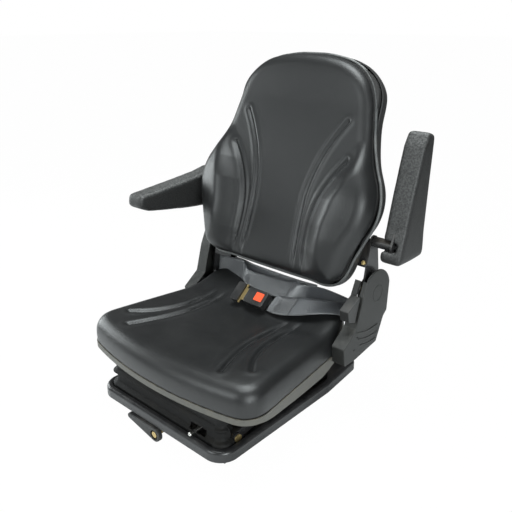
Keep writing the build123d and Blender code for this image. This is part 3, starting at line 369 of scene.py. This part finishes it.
WIRE = 0.003
COIL = 0.029
TURNS = 4.5
STEPS_A_TURN = 32
SPRING_X = 0.092
SPRING_Y = 0.072
SPRING_LOW = 0.0385
SPRING_HIGH = 0.1315
spring_coat = coated(
    "spring_coat", coat=(0.03, 0.03, 0.033), dust=(0.15, 0.12, 0.1),
    amount=0.4, roughness=0.3, grain=400.0, depth=0.00008,
)
for side, name in ((1, "left"), (-1, "right")):
    bm = bmesh.new()
    bmesh.ops.create_circle(bm, cap_ends=False, segments=10, radius=WIRE)
    bmesh.ops.rotate(bm, verts=bm.verts, matrix=Matrix.Rotation(math.pi / 2, 3, "X"))
    bmesh.ops.translate(bm, verts=bm.verts, vec=(SPRING_X * side + COIL, SPRING_Y, SPRING_LOW + WIRE))
    steps = int(TURNS * STEPS_A_TURN)
    rise = (SPRING_HIGH - SPRING_LOW - 2 * WIRE) / steps
    bmesh.ops.spin(
        bm, geom=bm.edges[:], cent=(SPRING_X * side, SPRING_Y, SPRING_LOW + WIRE), axis=(0, 0, 1),
        dvec=(0, 0, rise), angle=TURNS * 2 * math.pi, steps=steps,
    )
    ends = [edge for edge in bm.edges if edge.is_boundary]
    bmesh.ops.holes_fill(bm, edges=ends, sides=0)
    bmesh.ops.recalc_face_normals(bm, faces=bm.faces)
    coil_mesh = bpy.data.meshes.new("coil_" + name)
    keep_smooth(bm, coil_mesh)
    coil = bpy.data.objects.new("coil_" + name, coil_mesh)
    collection.objects.link(coil)
    coil_mesh.materials.append(spring_coat)
    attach(coil, "base")
    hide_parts("spring_" + name)
    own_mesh(coil)

# Bump stops: moulded black rubber blocks, matt and a little chalky, seated on the floor of
# the pan, where they take the upper frame at the low end of the stroke.
stop_rubber = coated(
    "stop_rubber", coat=(0.02, 0.02, 0.02), dust=(0.12, 0.11, 0.1),
    amount=0.4, roughness=0.6, grain=300.0, depth=0.0001,
)
dress(stop_rubber, "bump_stops")


# Boot: a thin black rubber apron with soft pleats, tucked behind the skirt and glued up under the pan. Its
# folds hold grey dust. Its rubber is set near black as painted shade, for the shadow that the pan casts
# over it.
SEAM = 0.00002


def soften(bm, times):
    """Evens out a skin, once for each time."""
    for _ in range(times):
        bmesh.ops.smooth_vert(
            bm, verts=bm.verts, factor=0.5, use_axis_x=True, use_axis_y=True, use_axis_z=True,
        )


def soft_copy(node_name, new_name, voxel, smoothing):
    """A node's solid as one even skin, ready to be shaped."""
    skin = nodes[node_name].data.copy()
    skin.name = new_name
    bm = bmesh.new()
    bm.from_mesh(skin)
    bmesh.ops.remove_doubles(bm, verts=bm.verts, dist=SEAM)
    bm.to_mesh(skin)
    bm.free()
    piece = bpy.data.objects.new(new_name, skin)
    collection.objects.link(piece)
    remesh = piece.modifiers.new("even_skin", "REMESH")
    remesh.mode = "VOXEL"
    remesh.voxel_size = voxel
    shaped = bpy.data.meshes.new_from_object(piece.evaluated_get(bpy.context.evaluated_depsgraph_get()))
    piece.modifiers.clear()
    piece.data = shaped
    shaped.name = new_name
    bm = bmesh.new()
    bm.from_mesh(shaped)
    soften(bm, smoothing)
    keep_smooth(bm, shaped)
    shaped.materials.clear()
    return piece


BOOT_SHINE = 0.2
# Near black coat: painted shade, for the shadow that the pan casts over the boot.
boot_rubber = coated(
    "boot_rubber", coat=(0.004, 0.004, 0.004), dust=(0.035, 0.031, 0.025),
    amount=0.35, roughness=0.6, grain=300.0, depth=0.0002, patch=18.0,
)
boot_rubber.node_tree.nodes["Principled BSDF"].inputs["Specular IOR Level"].default_value = BOOT_SHINE
boot_mesh = nodes["boot"].data.copy()
bm = bmesh.new()
bm.from_mesh(boot_mesh)
bmesh.ops.remove_doubles(bm, verts=bm.verts, dist=SEAM)
bm.to_mesh(boot_mesh)
bm.free()
boot_skin = bpy.data.objects.new("boot_skin", boot_mesh)
collection.objects.link(boot_skin)
boot_mesh.materials.clear()
boot_mesh.materials.append(boot_rubber)
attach(boot_skin, "base")
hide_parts("boot")
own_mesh(boot_skin)

# Seat pan: deep drawn steel tray that shows as the rim under the cushion. It has a dull
# grey olive coat, more worn and dusty than anything else on the seat.
rim_coat = coated(
    "rim_coat", coat=(0.068, 0.066, 0.057), dust=(0.20, 0.175, 0.13),
    amount=0.95, roughness=0.5, grain=240.0, depth=0.0002, patch=45.0,
)
dress(rim_coat, "seat_pan")


# Seat cushion: one moulded foam block under a black vinyl skin, crowned at its edges,
# with two channels pressed in each side. The vinyl is fine grained with a soft gloss.
SAMPLES = 24


def along(points):
    """Even samples down a channel's line, for finding how far a point of skin is from it."""
    tree = KDTree((len(points) - 1) * SAMPLES + 1)
    spline = []
    for i in range(len(points) - 1):
        before = Vector(points[max(i - 1, 0)])
        start = Vector(points[i])
        end = Vector(points[i + 1])
        after = Vector(points[min(i + 2, len(points) - 1)])
        for step in range(SAMPLES):
            t = step / SAMPLES
            spline.append(0.5 * (
                2 * start + (end - before) * t + (2 * before - 5 * start + 4 * end - after) * t * t
                + (3 * start - before - 3 * end + after) * t ** 3
            ))
    spline.append(Vector(points[-1]))
    for count, point in enumerate(spline):
        tree.insert((point[0], point[1], 0.0), count)
    tree.balance()
    return tree


def channel_depth(lines, x, y, width, depth, swell):
    """How far the skin drops into the nearest channel, and swells up beside it."""
    nearest = min(line.find((x, y, 0.0))[2] for line in lines)
    drop = depth * math.exp(-(nearest / width) ** 2)
    rise = swell * math.exp(-((nearest - 2.6 * width) / (1.5 * width)) ** 2)
    return rise - drop


def ease(low, high, value):
    """0 at low and 1 at high, with a soft start and end. Low may be the larger of the two."""
    t = min(max((value - low) / (high - low), 0.0), 1.0)
    return t * t * (3 - 2 * t)


def vinyl_finish(name, roughness):
    """The black vinyl of cushion and backrest, with a pebbled grain and hardly any dust."""
    return coated(
        name, coat=(0.006, 0.0063, 0.0066), dust=(0.05, 0.049, 0.046),
        amount=0.1, roughness=roughness, grain=620.0, depth=0.00025, pebble=0.75, patch=9.0,
    )


seat_vinyl = vinyl_finish("seat_vinyl", 0.41)
seat_lines = [
    along([(side * x * 0.001, y * 0.001) for x, y in line])
    for side in (1, -1)
    for line in (
        [(197, -152), (168, -114), (146, -60), (138, 5), (142, 120)],
        [(150, -192), (133, -148), (116, -93), (108, -30), (110, 90)],
    )
]
SEAT_CHANNEL = {"width": 0.0050, "depth": 0.0055, "swell": 0.0015}
TOP_STARTS_Z = 0.185
TOP_FULL_Z = 0.200
FOOT_Z = 0.157
FOOT_TUCK_X = 0.995
FOOT_TUCK_Y = 0.0006
CHANNEL_FADE_Y = (0.10, 0.01)
DISH = 0.006
DISH_CENTRE_Y = -0.01
DISH_HALF_X = 0.11
DISH_HALF_Y = 0.16
SIDE_RISE = 0.003
SIDE_RISE_X = (0.15, 0.20)
SIDE_RISE_Y = (-0.24, -0.15)
REAR_RISE = 0.036
REAR_RISE_Y = (0.05, 0.19)
cushion_skin = soft_copy("seat_cushion", "cushion_skin", voxel=0.006, smoothing=6)
bm = bmesh.new()
bm.from_mesh(cushion_skin.data)
bmesh.ops.subdivide_edges(bm, edges=bm.edges, cuts=1, use_grid_fill=True, smooth=0.6)
for vert in bm.verts:
    x, y, z = vert.co
    top = ease(TOP_STARTS_Z, TOP_FULL_Z, z)
    if top > 0:
        lift = channel_depth(seat_lines, x, y, **SEAT_CHANNEL) * ease(*CHANNEL_FADE_Y, y)
        lift -= DISH * math.exp(-((x / DISH_HALF_X) ** 2 + ((y - DISH_CENTRE_Y) / DISH_HALF_Y) ** 2))
        lift += SIDE_RISE * ease(*SIDE_RISE_X, abs(x)) * ease(*SIDE_RISE_Y, y)
        lift += REAR_RISE * ease(*REAR_RISE_Y, y)
        vert.co.z += top * lift
    elif z < FOOT_Z:
        vert.co.x *= FOOT_TUCK_X
        vert.co.y -= FOOT_TUCK_Y if y > 0 else -FOOT_TUCK_Y
keep_smooth(bm, cushion_skin.data)
cushion_skin.data.materials.append(seat_vinyl)
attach(cushion_skin, "seat")
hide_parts("seat_cushion")

# Backrest: moulded foam under the same vinyl, two deep bolsters, a rolled top and two
# pressed channels a side. Laid out on the sloping plane of its piping, then stood up.
RECLINE = math.radians(18.0)
SLOPE = math.cos(RECLINE)
up_slope = Vector((0, math.sin(RECLINE), math.cos(RECLINE)))
forward = Vector((0, -math.cos(RECLINE), math.sin(RECLINE)))
back_foot = Vector((0, 0.128, 0.300))
turn_up = Matrix((
    (1, 0, 0, 0),
    (0, up_slope.y, forward.y, 0),
    (0, up_slope.z, forward.z, 0),
    (0, 0, 0, 1),
))
stand_up = Matrix.Translation(back_foot) @ turn_up
edge_heights = [
    (66, 786), (122, 772), (163, 744), (186, 708), (198, 664), (210, 615), (229, 566), (249, 525),
    (258, 484), (253, 444), (240, 412), (226, 376), (208, 325),
]
right_edge = [(x, (z - 300) / SLOPE) for x, z in edge_heights] + [(186, 7 / SLOPE), (120, 4 / SLOPE)]
back_edge = [(0, 490 / SLOPE)] + right_edge + [(0, 3 / SLOPE)] + [(-x, v) for x, v in reversed(right_edge)]


def back_slab(name, inset, thickness=0.0, rounding=0.0, tube=0.0):
    """The backrest's outline as a filled slab, or as a welt of round section."""
    centre = Vector((0.0, 240.0))
    line = bpy.data.curves.new(name, "CURVE")
    line.dimensions = "2D"
    line.fill_mode = "NONE" if tube else "BOTH"
    line.resolution_u = 8
    spline = line.splines.new("BEZIER")
    spline.bezier_points.add(len(back_edge) - 1)
    for knot, (x, v) in zip(spline.bezier_points, back_edge):
        point = Vector((x, v))
        inward = (centre - point).normalized() * inset
        knot.co = ((point.x * 0.001 + inward.x), (point.y * 0.001 + inward.y), 0.0)
        knot.handle_left_type = "AUTO"
        knot.handle_right_type = "AUTO"
    spline.use_cyclic_u = True
    if tube:
        line.dimensions = "3D"
        line.fill_mode = "FULL"
        line.bevel_depth = tube
        line.bevel_resolution = 4
    else:
        line.extrude = thickness / 2 - rounding
        line.bevel_depth = rounding
        line.bevel_resolution = 4
        line.offset = -rounding
    shape = bpy.data.objects.new(name, line)
    collection.objects.link(shape)
    bpy.context.view_layer.update()
    mesh = bpy.data.meshes.new_from_object(shape.evaluated_get(bpy.context.evaluated_depsgraph_get()))
    bpy.data.objects.remove(shape)
    mesh.name = name
    piece = bpy.data.objects.new(name, mesh)
    collection.objects.link(piece)
    return piece


PAD_T = 0.026
PAD_FOOT = 0.003
EDGE_ROLL = 0.032
EDGE_LEAST = 0.3
BOLSTER_RISE = 0.043
BOLSTER_FALL = 0.42
BOLSTER_OUT_MM = (-18, 66)
BOLSTER_UP_MM = (400, 190)
BOLSTER_FOOT_MM = (-10, 110)
BOLSTER_CREST = (0.4, 1.0)
TOP_ROLL_RISE = 0.008
TOP_ROLL_UP_MM = (395, 490)
FRONT_SKIN = (0.4, 0.85)
FRONT_UP_MM = (2, 70)
BACK_CHANNEL = {"width": 0.0036, "depth": 0.0058, "swell": 0.0012}
pad_skin = back_slab("pad_skin", inset=0.002, thickness=PAD_T, rounding=0.011)
bm = bmesh.new()
bm.from_mesh(pad_skin.data)
bmesh.ops.translate(bm, verts=bm.verts, vec=(0, 0, PAD_T / 2))
bmesh.ops.remove_doubles(bm, verts=bm.verts, dist=0.0001)
bm.to_mesh(pad_skin.data)
bm.free()
remesh = pad_skin.modifiers.new("even_skin", "REMESH")
remesh.mode = "VOXEL"
remesh.voxel_size = 0.005
bpy.context.view_layer.update()
even = bpy.data.meshes.new_from_object(pad_skin.evaluated_get(bpy.context.evaluated_depsgraph_get()))
pad_skin.modifiers.clear()
pad_skin.data = even
back_lines = [
    along([(side * x * 0.001, v * 0.001) for x, v in line])
    for side in (1, -1)
    for line in (
        [(147, 368), (122, 328), (98, 277), (79, 210), (75, 147), (78, 74), (84, 6)],
        [(168, 284), (140, 244), (115, 192), (103, 134), (104, 72), (112, 6)],
    )
]
rim_line = along([(x * 0.001, v * 0.001) for x, v in back_edge[:20]])
outer_line = [(34, 114), (72, 104), (134, 103), (192, 115), (244, 140), (284, 168), (330, 200)]


def line_at(v):
    """How far out the inner foot of a bolster lies, in mm, at a height up the slope."""
    for (v0, x0), (v1, x1) in zip(outer_line, outer_line[1:]):
        if v <= v1:
            return x0 + (x1 - x0) * max(v - v0, 0) / (v1 - v0)
    return outer_line[-1][1]


bm = bmesh.new()
bm.from_mesh(even)
soften(bm, 3)
bmesh.ops.subdivide_edges(bm, edges=bm.edges, cuts=1, use_grid_fill=True, smooth=0.6)
for vert in bm.verts:
    u, v, d = vert.co
    um = abs(u) * 1000
    vm = v * 1000
    outward = um - line_at(vm)
    low = ease(*BOLSTER_UP_MM, vm)
    to_rim = rim_line.find((abs(u), v, 0.0))[2] * 1000
    across = max(outward, 0.0) / (max(outward, 0.0) + to_rim + 0.1)
    bolster = ease(*BOLSTER_OUT_MM, outward) * (1 - BOLSTER_FALL * ease(*BOLSTER_CREST, across)) * low
    bolster *= 0.5 + 0.5 * ease(*BOLSTER_FOOT_MM, vm)
    inside = to_rim * 0.001 / EDGE_ROLL
    rounded = EDGE_LEAST + (1 - EDGE_LEAST) * math.sqrt(max(1 - (1 - min(inside, 1.0)) ** 2, 0.0))
    roll = ease(*TOP_ROLL_UP_MM, vm)
    height = PAD_T + BOLSTER_RISE * bolster + TOP_ROLL_RISE * roll
    front = ease(*FRONT_SKIN, d / PAD_T) * ease(*FRONT_UP_MM, vm)
    height = height * rounded + front * channel_depth(back_lines, u, v, **BACK_CHANNEL)
    vert.co.z = PAD_FOOT + max(d, 0.0) * (height - PAD_FOOT) / PAD_T
bmesh.ops.transform(bm, matrix=stand_up, verts=bm.verts)
bmesh.ops.recalc_face_normals(bm, faces=bm.faces)
keep_smooth(bm, even)
even.materials.clear()
back_vinyl = vinyl_finish("back_vinyl", 0.42)
even.materials.append(back_vinyl)
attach(pad_skin, "backrest")
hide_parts("back_pad")

# Piping: a cord sewn in a strip of the same vinyl, run all round where pad meets shell.
# Stretched over its cord, the strip is rubbed and pale along its crown.
WELT_R = 0.0034
welt = back_slab("welt", inset=-0.001, tube=WELT_R)
bm = bmesh.new()
bm.from_mesh(welt.data)
bmesh.ops.remove_doubles(bm, verts=bm.verts, dist=0.00005)
bmesh.ops.transform(bm, matrix=stand_up, verts=bm.verts)
bmesh.ops.recalc_face_normals(bm, faces=bm.faces)
keep_smooth(bm, welt.data)
welt_vinyl = coated(
    "welt_vinyl", coat=(0.05, 0.052, 0.052), dust=(0.24, 0.24, 0.23),
    amount=0.75, roughness=0.42, grain=900.0, depth=0.0003, pebble=0.2,
)
welt.data.materials.append(welt_vinyl)
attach(welt, "backrest")
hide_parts("back_piping")

# Shell: moulded black plastic with a fine spark eroded grain, and the foam core in it.
shell_skin = coated(
    "shell_skin", coat=(0.017, 0.017, 0.017), dust=(0.10, 0.09, 0.08),
    amount=0.3, roughness=0.5, grain=900.0, depth=0.0002,
)
dress(shell_skin, "back_shell")
core_foam = coated(
    "core_foam", coat=(0.02, 0.02, 0.02), dust=(0.08, 0.07, 0.06),
    amount=0.3, roughness=0.8, grain=260.0, depth=0.0004, pebble=1.0,
)
dress(core_foam, "back_core")

# Side covers: grey black glass filled mouldings with a coarse grain that catches dust. Each
# is clipped over its recliner, with three low ribs moulded on its rear corner.
RIB_R = 0.0012
RIB_X = 0.2611
cover_skin = coated(
    "cover_skin", coat=(0.009, 0.0093, 0.0084), dust=(0.10, 0.098, 0.09),
    amount=0.5, roughness=0.5, grain=750.0, depth=0.0004, pebble=0.3,
)
dress(cover_skin, "side_cover_left", "side_cover_right")
for side in (1, -1):
    for label, points in (
        ("high", [(126, 213), (148, 206), (172, 202), (196, 202), (214, 203)]),
        ("middle", [(132, 195), (156, 187), (179, 184), (200, 183), (214, 184)]),
        ("low", [(142, 176), (164, 170), (185, 168), (208, 169)]),
    ):
        line = bpy.data.curves.new("cover_rib", "CURVE")
        line.dimensions = "3D"
        line.bevel_depth = RIB_R
        line.bevel_resolution = 2
        spline = line.splines.new("NURBS")
        spline.points.add(len(points) - 1)
        for knot, (y, z) in zip(spline.points, points):
            knot.co = (side * RIB_X, y * 0.001, z * 0.001, 1.0)
        spline.use_endpoint_u = True
        spline.order_u = 3
        shape = bpy.data.objects.new("cover_rib", line)
        collection.objects.link(shape)
        bpy.context.view_layer.update()
        mesh = bpy.data.meshes.new_from_object(shape.evaluated_get(bpy.context.evaluated_depsgraph_get()))
        bpy.data.objects.remove(shape)
        rib = bpy.data.objects.new("cover_rib_" + label + ("_left" if side == 1 else "_right"), mesh)
        collection.objects.link(rib)
        mesh.materials.clear()
        mesh.materials.append(cover_skin)
        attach(rib, "seat")

# Armrest pads: self skinned foam moulded round their brackets, dead matt black, each on a shaft through
# its side arm. Their upper faces are pale with dust, which also stands as painted top light.
# Heavy pale grey dust on the faces that look up: dust, and painted top light on the pads' tops.
armrest_skin = coated(
    "armrest_skin", coat=(0.006, 0.006, 0.006), dust=(0.22, 0.22, 0.215),
    amount=0.7, roughness=0.5, grain=520.0, depth=0.0004, pebble=0.6, patch=260.0,
)
ARM_PIVOT = Vector((0, 0.203, 0.405))
ARM_RAISED = (("left", 97.6), ("right", 0.0))
ARM_DROP = 0.009
ARM_DROP_Y = (0.02, 0.17)
ARM_DROP_Z = (0.44, 0.40)
ARM_HEEL = 0.010
ARM_HEEL_Y = (0.205, 0.232)
for name, raised_by in ARM_RAISED:
    rest_skin = soft_copy("armrest_pad_" + name, "armrest_skin_" + name, voxel=0.0035, smoothing=5)
    level_arm = Matrix.Translation(ARM_PIVOT) @ Matrix.Rotation(math.radians(raised_by), 4, "X")
    level_arm = level_arm @ Matrix.Translation(-ARM_PIVOT)
    bm = bmesh.new()
    bm.from_mesh(rest_skin.data)
    bmesh.ops.transform(bm, matrix=level_arm, verts=bm.verts)
    for vert in bm.verts:
        x, y, z = vert.co
        vert.co.z -= ARM_DROP * ease(*ARM_DROP_Y, y) * ease(*ARM_DROP_Z, z)
        vert.co.y += ARM_HEEL * ease(*ARM_HEEL_Y, y)
    bmesh.ops.transform(bm, matrix=level_arm.inverted(), verts=bm.verts)
    keep_smooth(bm, rest_skin.data)
    rest_skin.data.materials.append(armrest_skin)
    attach(rest_skin, "armrest_" + name)
    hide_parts("armrest_pad_" + name)


# Lap belt: black polyester webbing, woven in fine ribs with a silky face. It stands on
# edge across the back of the cushion, turns over on itself and leans on it at the buckle.
STRAP_T = 0.0016
WEAVE_A_METRE = 4.0
WEAVE_SCALE = (420.0, 16.0, 1.0)
# Painted light in the weave: the valleys get painted shade, the rib crests a painted highlight.
VALLEY_PAINTED_SHADE = (0.022, 0.023, 0.025)
RIB_PAINTED_HIGHLIGHT = (0.085, 0.09, 0.098)


def webbing_finish(name, tone_share):
    """Black webbing with ribs across it, painted highlight on their crests and painted shade in the
    valleys between. A share below 1 is a darker, stitched part.
    """
    finish = bpy.data.materials.new(name)
    finish.use_nodes = True
    n = finish.node_tree.nodes
    link = finish.node_tree.links.new
    shader = n["Principled BSDF"]
    shader.inputs["Roughness"].default_value = 0.28
    shader.inputs["Specular IOR Level"].default_value = 0.85
    shader.inputs["Sheen Weight"].default_value = 0.35
    shader.inputs["Sheen Roughness"].default_value = 0.35
    flat = n.new("ShaderNodeUVMap")
    flat.uv_map = "weave"
    turned = n.new("ShaderNodeMapping")
    turned.inputs["Scale"].default_value = WEAVE_SCALE
    ribs = n.new("ShaderNodeTexWave")
    ribs.wave_type = "BANDS"
    ribs.bands_direction = "DIAGONAL"
    ribs.inputs["Scale"].default_value = 1.0
    ribs.inputs["Distortion"].default_value = 0.6
    bump = n.new("ShaderNodeBump")
    bump.inputs["Strength"].default_value = 0.7
    bump.inputs["Distance"].default_value = 0.0004
    # Colour follows the ribs' height: painted shade in the valleys, painted highlight on the crests.
    rib_light_and_shade = n.new("ShaderNodeMix")
    rib_light_and_shade.data_type = "RGBA"
    rib_light_and_shade.inputs["A"].default_value = (*(part * tone_share for part in VALLEY_PAINTED_SHADE), 1.0)
    rib_light_and_shade.inputs["B"].default_value = (*(part * tone_share for part in RIB_PAINTED_HIGHLIGHT), 1.0)
    link(flat.outputs["UV"], turned.inputs["Vector"])
    link(turned.outputs["Vector"], ribs.inputs["Vector"])
    link(ribs.outputs["Fac"], bump.inputs["Height"])
    link(ribs.outputs["Fac"], rib_light_and_shade.inputs["Factor"])
    link(rib_light_and_shade.outputs["Result"], shader.inputs["Base Color"])
    link(bump.outputs["Normal"], shader.inputs["Normal"])
    return finish


woven_webbing = webbing_finish("woven_webbing", 1.0)


def strap(name, stations, body, node_name):
    """Webbing from its stations: each is the place of the lower edge, then of the upper edge."""
    bm = bmesh.new()
    low = bm.verts.new(Vector(stations[0][0]) * 0.001)
    high = bm.verts.new(Vector(stations[0][1]) * 0.001)
    edge = bm.edges.new((low, high))
    uv = bm.loops.layers.uv.new("weave")
    run = 0.0
    for lower, upper in stations[1:]:
        grown = bmesh.ops.extrude_edge_only(bm, edges=[edge])["geom"]
        new_verts = [g for g in grown if isinstance(g, bmesh.types.BMVert)]
        new_low = min(new_verts, key=lambda g: (g.co - edge.verts[0].co).length)
        new_high = next(g for g in new_verts if g is not new_low)
        if edge.verts[0] is not low:
            new_low, new_high = new_high, new_low
        step = (Vector(lower) * 0.001 - low.co).length
        step = (step + (Vector(upper) * 0.001 - high.co).length) / 2
        new_low.co = Vector(lower) * 0.001
        new_high.co = Vector(upper) * 0.001
        face = next(g for g in grown if isinstance(g, bmesh.types.BMFace))
        for loop in face.loops:
            along_run = run if loop.vert in (low, high) else run + step
            across = 0.0 if loop.vert in (low, new_low) else 1.0
            loop[uv].uv = (along_run * WEAVE_A_METRE, across)
        run += step
        low, high = new_low, new_high
        edge = next(e for e in new_low.link_edges if e.other_vert(new_low) is new_high)
    crease = bm.edges.layers.float.new("crease_edge")
    for edge in bm.edges:
        if edge.is_boundary:
            edge[crease] = 1.0
    bmesh.ops.recalc_face_normals(bm, faces=bm.faces)
    mesh = bpy.data.meshes.new(name)
    keep_smooth(bm, mesh)
    piece = bpy.data.objects.new(name, mesh)
    collection.objects.link(piece)
    mesh.materials.append(woven_webbing)
    rounder = piece.modifiers.new("rounder", "SUBSURF")
    rounder.levels = 3
    rounder.render_levels = 3
    thick = piece.modifiers.new("thick", "SOLIDIFY")
    thick.thickness = STRAP_T
    thick.offset = 0.0
    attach(piece, body)
    if node_name:
        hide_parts(node_name)
    return piece


strap("long_strap", [
    ((-232, 181, 205), (-232, 186, 256)),
    ((-216, 174, 214), (-214, 179, 262)),
    ((-187, 161, 217), (-178, 168, 270)),
    ((-150, 154, 226), (-148, 161, 275)),
    ((-120, 148, 233), (-118, 155, 281)),
    ((-104, 144, 234), (-108, 152, 282)),
    ((-100, 140, 230), (-100, 153, 262)),
    ((-80, 132, 229), (-84, 152, 259)),
    ((-46, 126, 229), (-40, 152, 262)),
    ((11, 119, 230), (8, 150, 266)),
    ((40, 118, 232), (48, 147, 271)),
    ((62, 122, 236), (74, 146, 276)),
    ((72, 126, 240), (82, 148, 279)),
], "seat", "belt_webbing_right")
strap("rear_ply", [
    ((-158, 170, 228), (-158, 172, 274)),
    ((-116, 167, 230), (-114, 169, 276)),
    ((-96, 165, 228), (-96, 167, 272)),
    ((-50, 164, 226), (-50, 166, 272)),
    ((0, 162, 226), (0, 165, 272)),
    ((50, 158, 228), (48, 163, 273)),
    ((88, 152, 232), (84, 161, 275)),
    ((124, 150, 234), (120, 164, 276)),
], "seat", None)
strap("turned_ply", [
    ((60, 114, 233), (70, 138, 276)),
    ((78, 114, 236), (82, 136, 279)),
    ((98, 118, 238), (94, 135, 279)),
    ((112, 122, 238), (106, 136, 280)),
    ((130, 134, 240), (120, 142, 281)),
    ((150, 146, 238), (140, 156, 278)),
    ((178, 156, 232), (172, 162, 273)),
    ((208, 164, 226), (208, 166, 267)),
], "seat", None)
strap("short_strap", [
    ((37, 74, 214), (46, 104, 246)),
    ((54, 71, 215), (60, 104, 248)),
    ((76, 70, 216), (78, 105, 250)),
    ((100, 72, 222), (104, 110, 256)),
    ((125, 78, 228), (132, 117, 261)),
    ((146, 86, 234), (152, 125, 262)),
    ((167, 96, 239), (172, 134, 261)),
    ((195, 112, 244), (194, 147, 260)),
    ((216, 128, 240), (212, 158, 258)),
    ((226, 150, 234), (224, 172, 256)),
], "seat", "belt_webbing_left")
stitched_end = strap("stitched_end", [
    ((55, 69, 216), (61, 102, 249)),
    ((70, 68.4, 217), (74, 103, 250.6)),
    ((88, 69.2, 220), (92, 106, 254)),
    ((104, 71.2, 224), (108, 110, 258)),
], "seat", None)
stitched_end.data.materials.clear()
stitched_end.data.materials.append(webbing_finish("stitched_webbing", 0.45))

# Buckle and tongue: black moulded housings, a plated steel tongue and a red button that
# stands a little proud of its well.
buckle_skin = coated(
    "buckle_skin", coat=(0.012, 0.012, 0.012), dust=(0.07, 0.065, 0.06),
    amount=0.3, roughness=0.35, grain=800.0, depth=0.0001,
)
dress(buckle_skin, "buckle_body", "tongue_cover")
dress(yellow_zinc, "belt_tongue")
button_skin = coated(
    "button_skin", coat=(0.72, 0.085, 0.03), dust=(0.3, 0.1, 0.06),
    amount=0.2, roughness=0.3, grain=900.0, depth=0.00005,
)
dress(button_skin, "buckle_button")
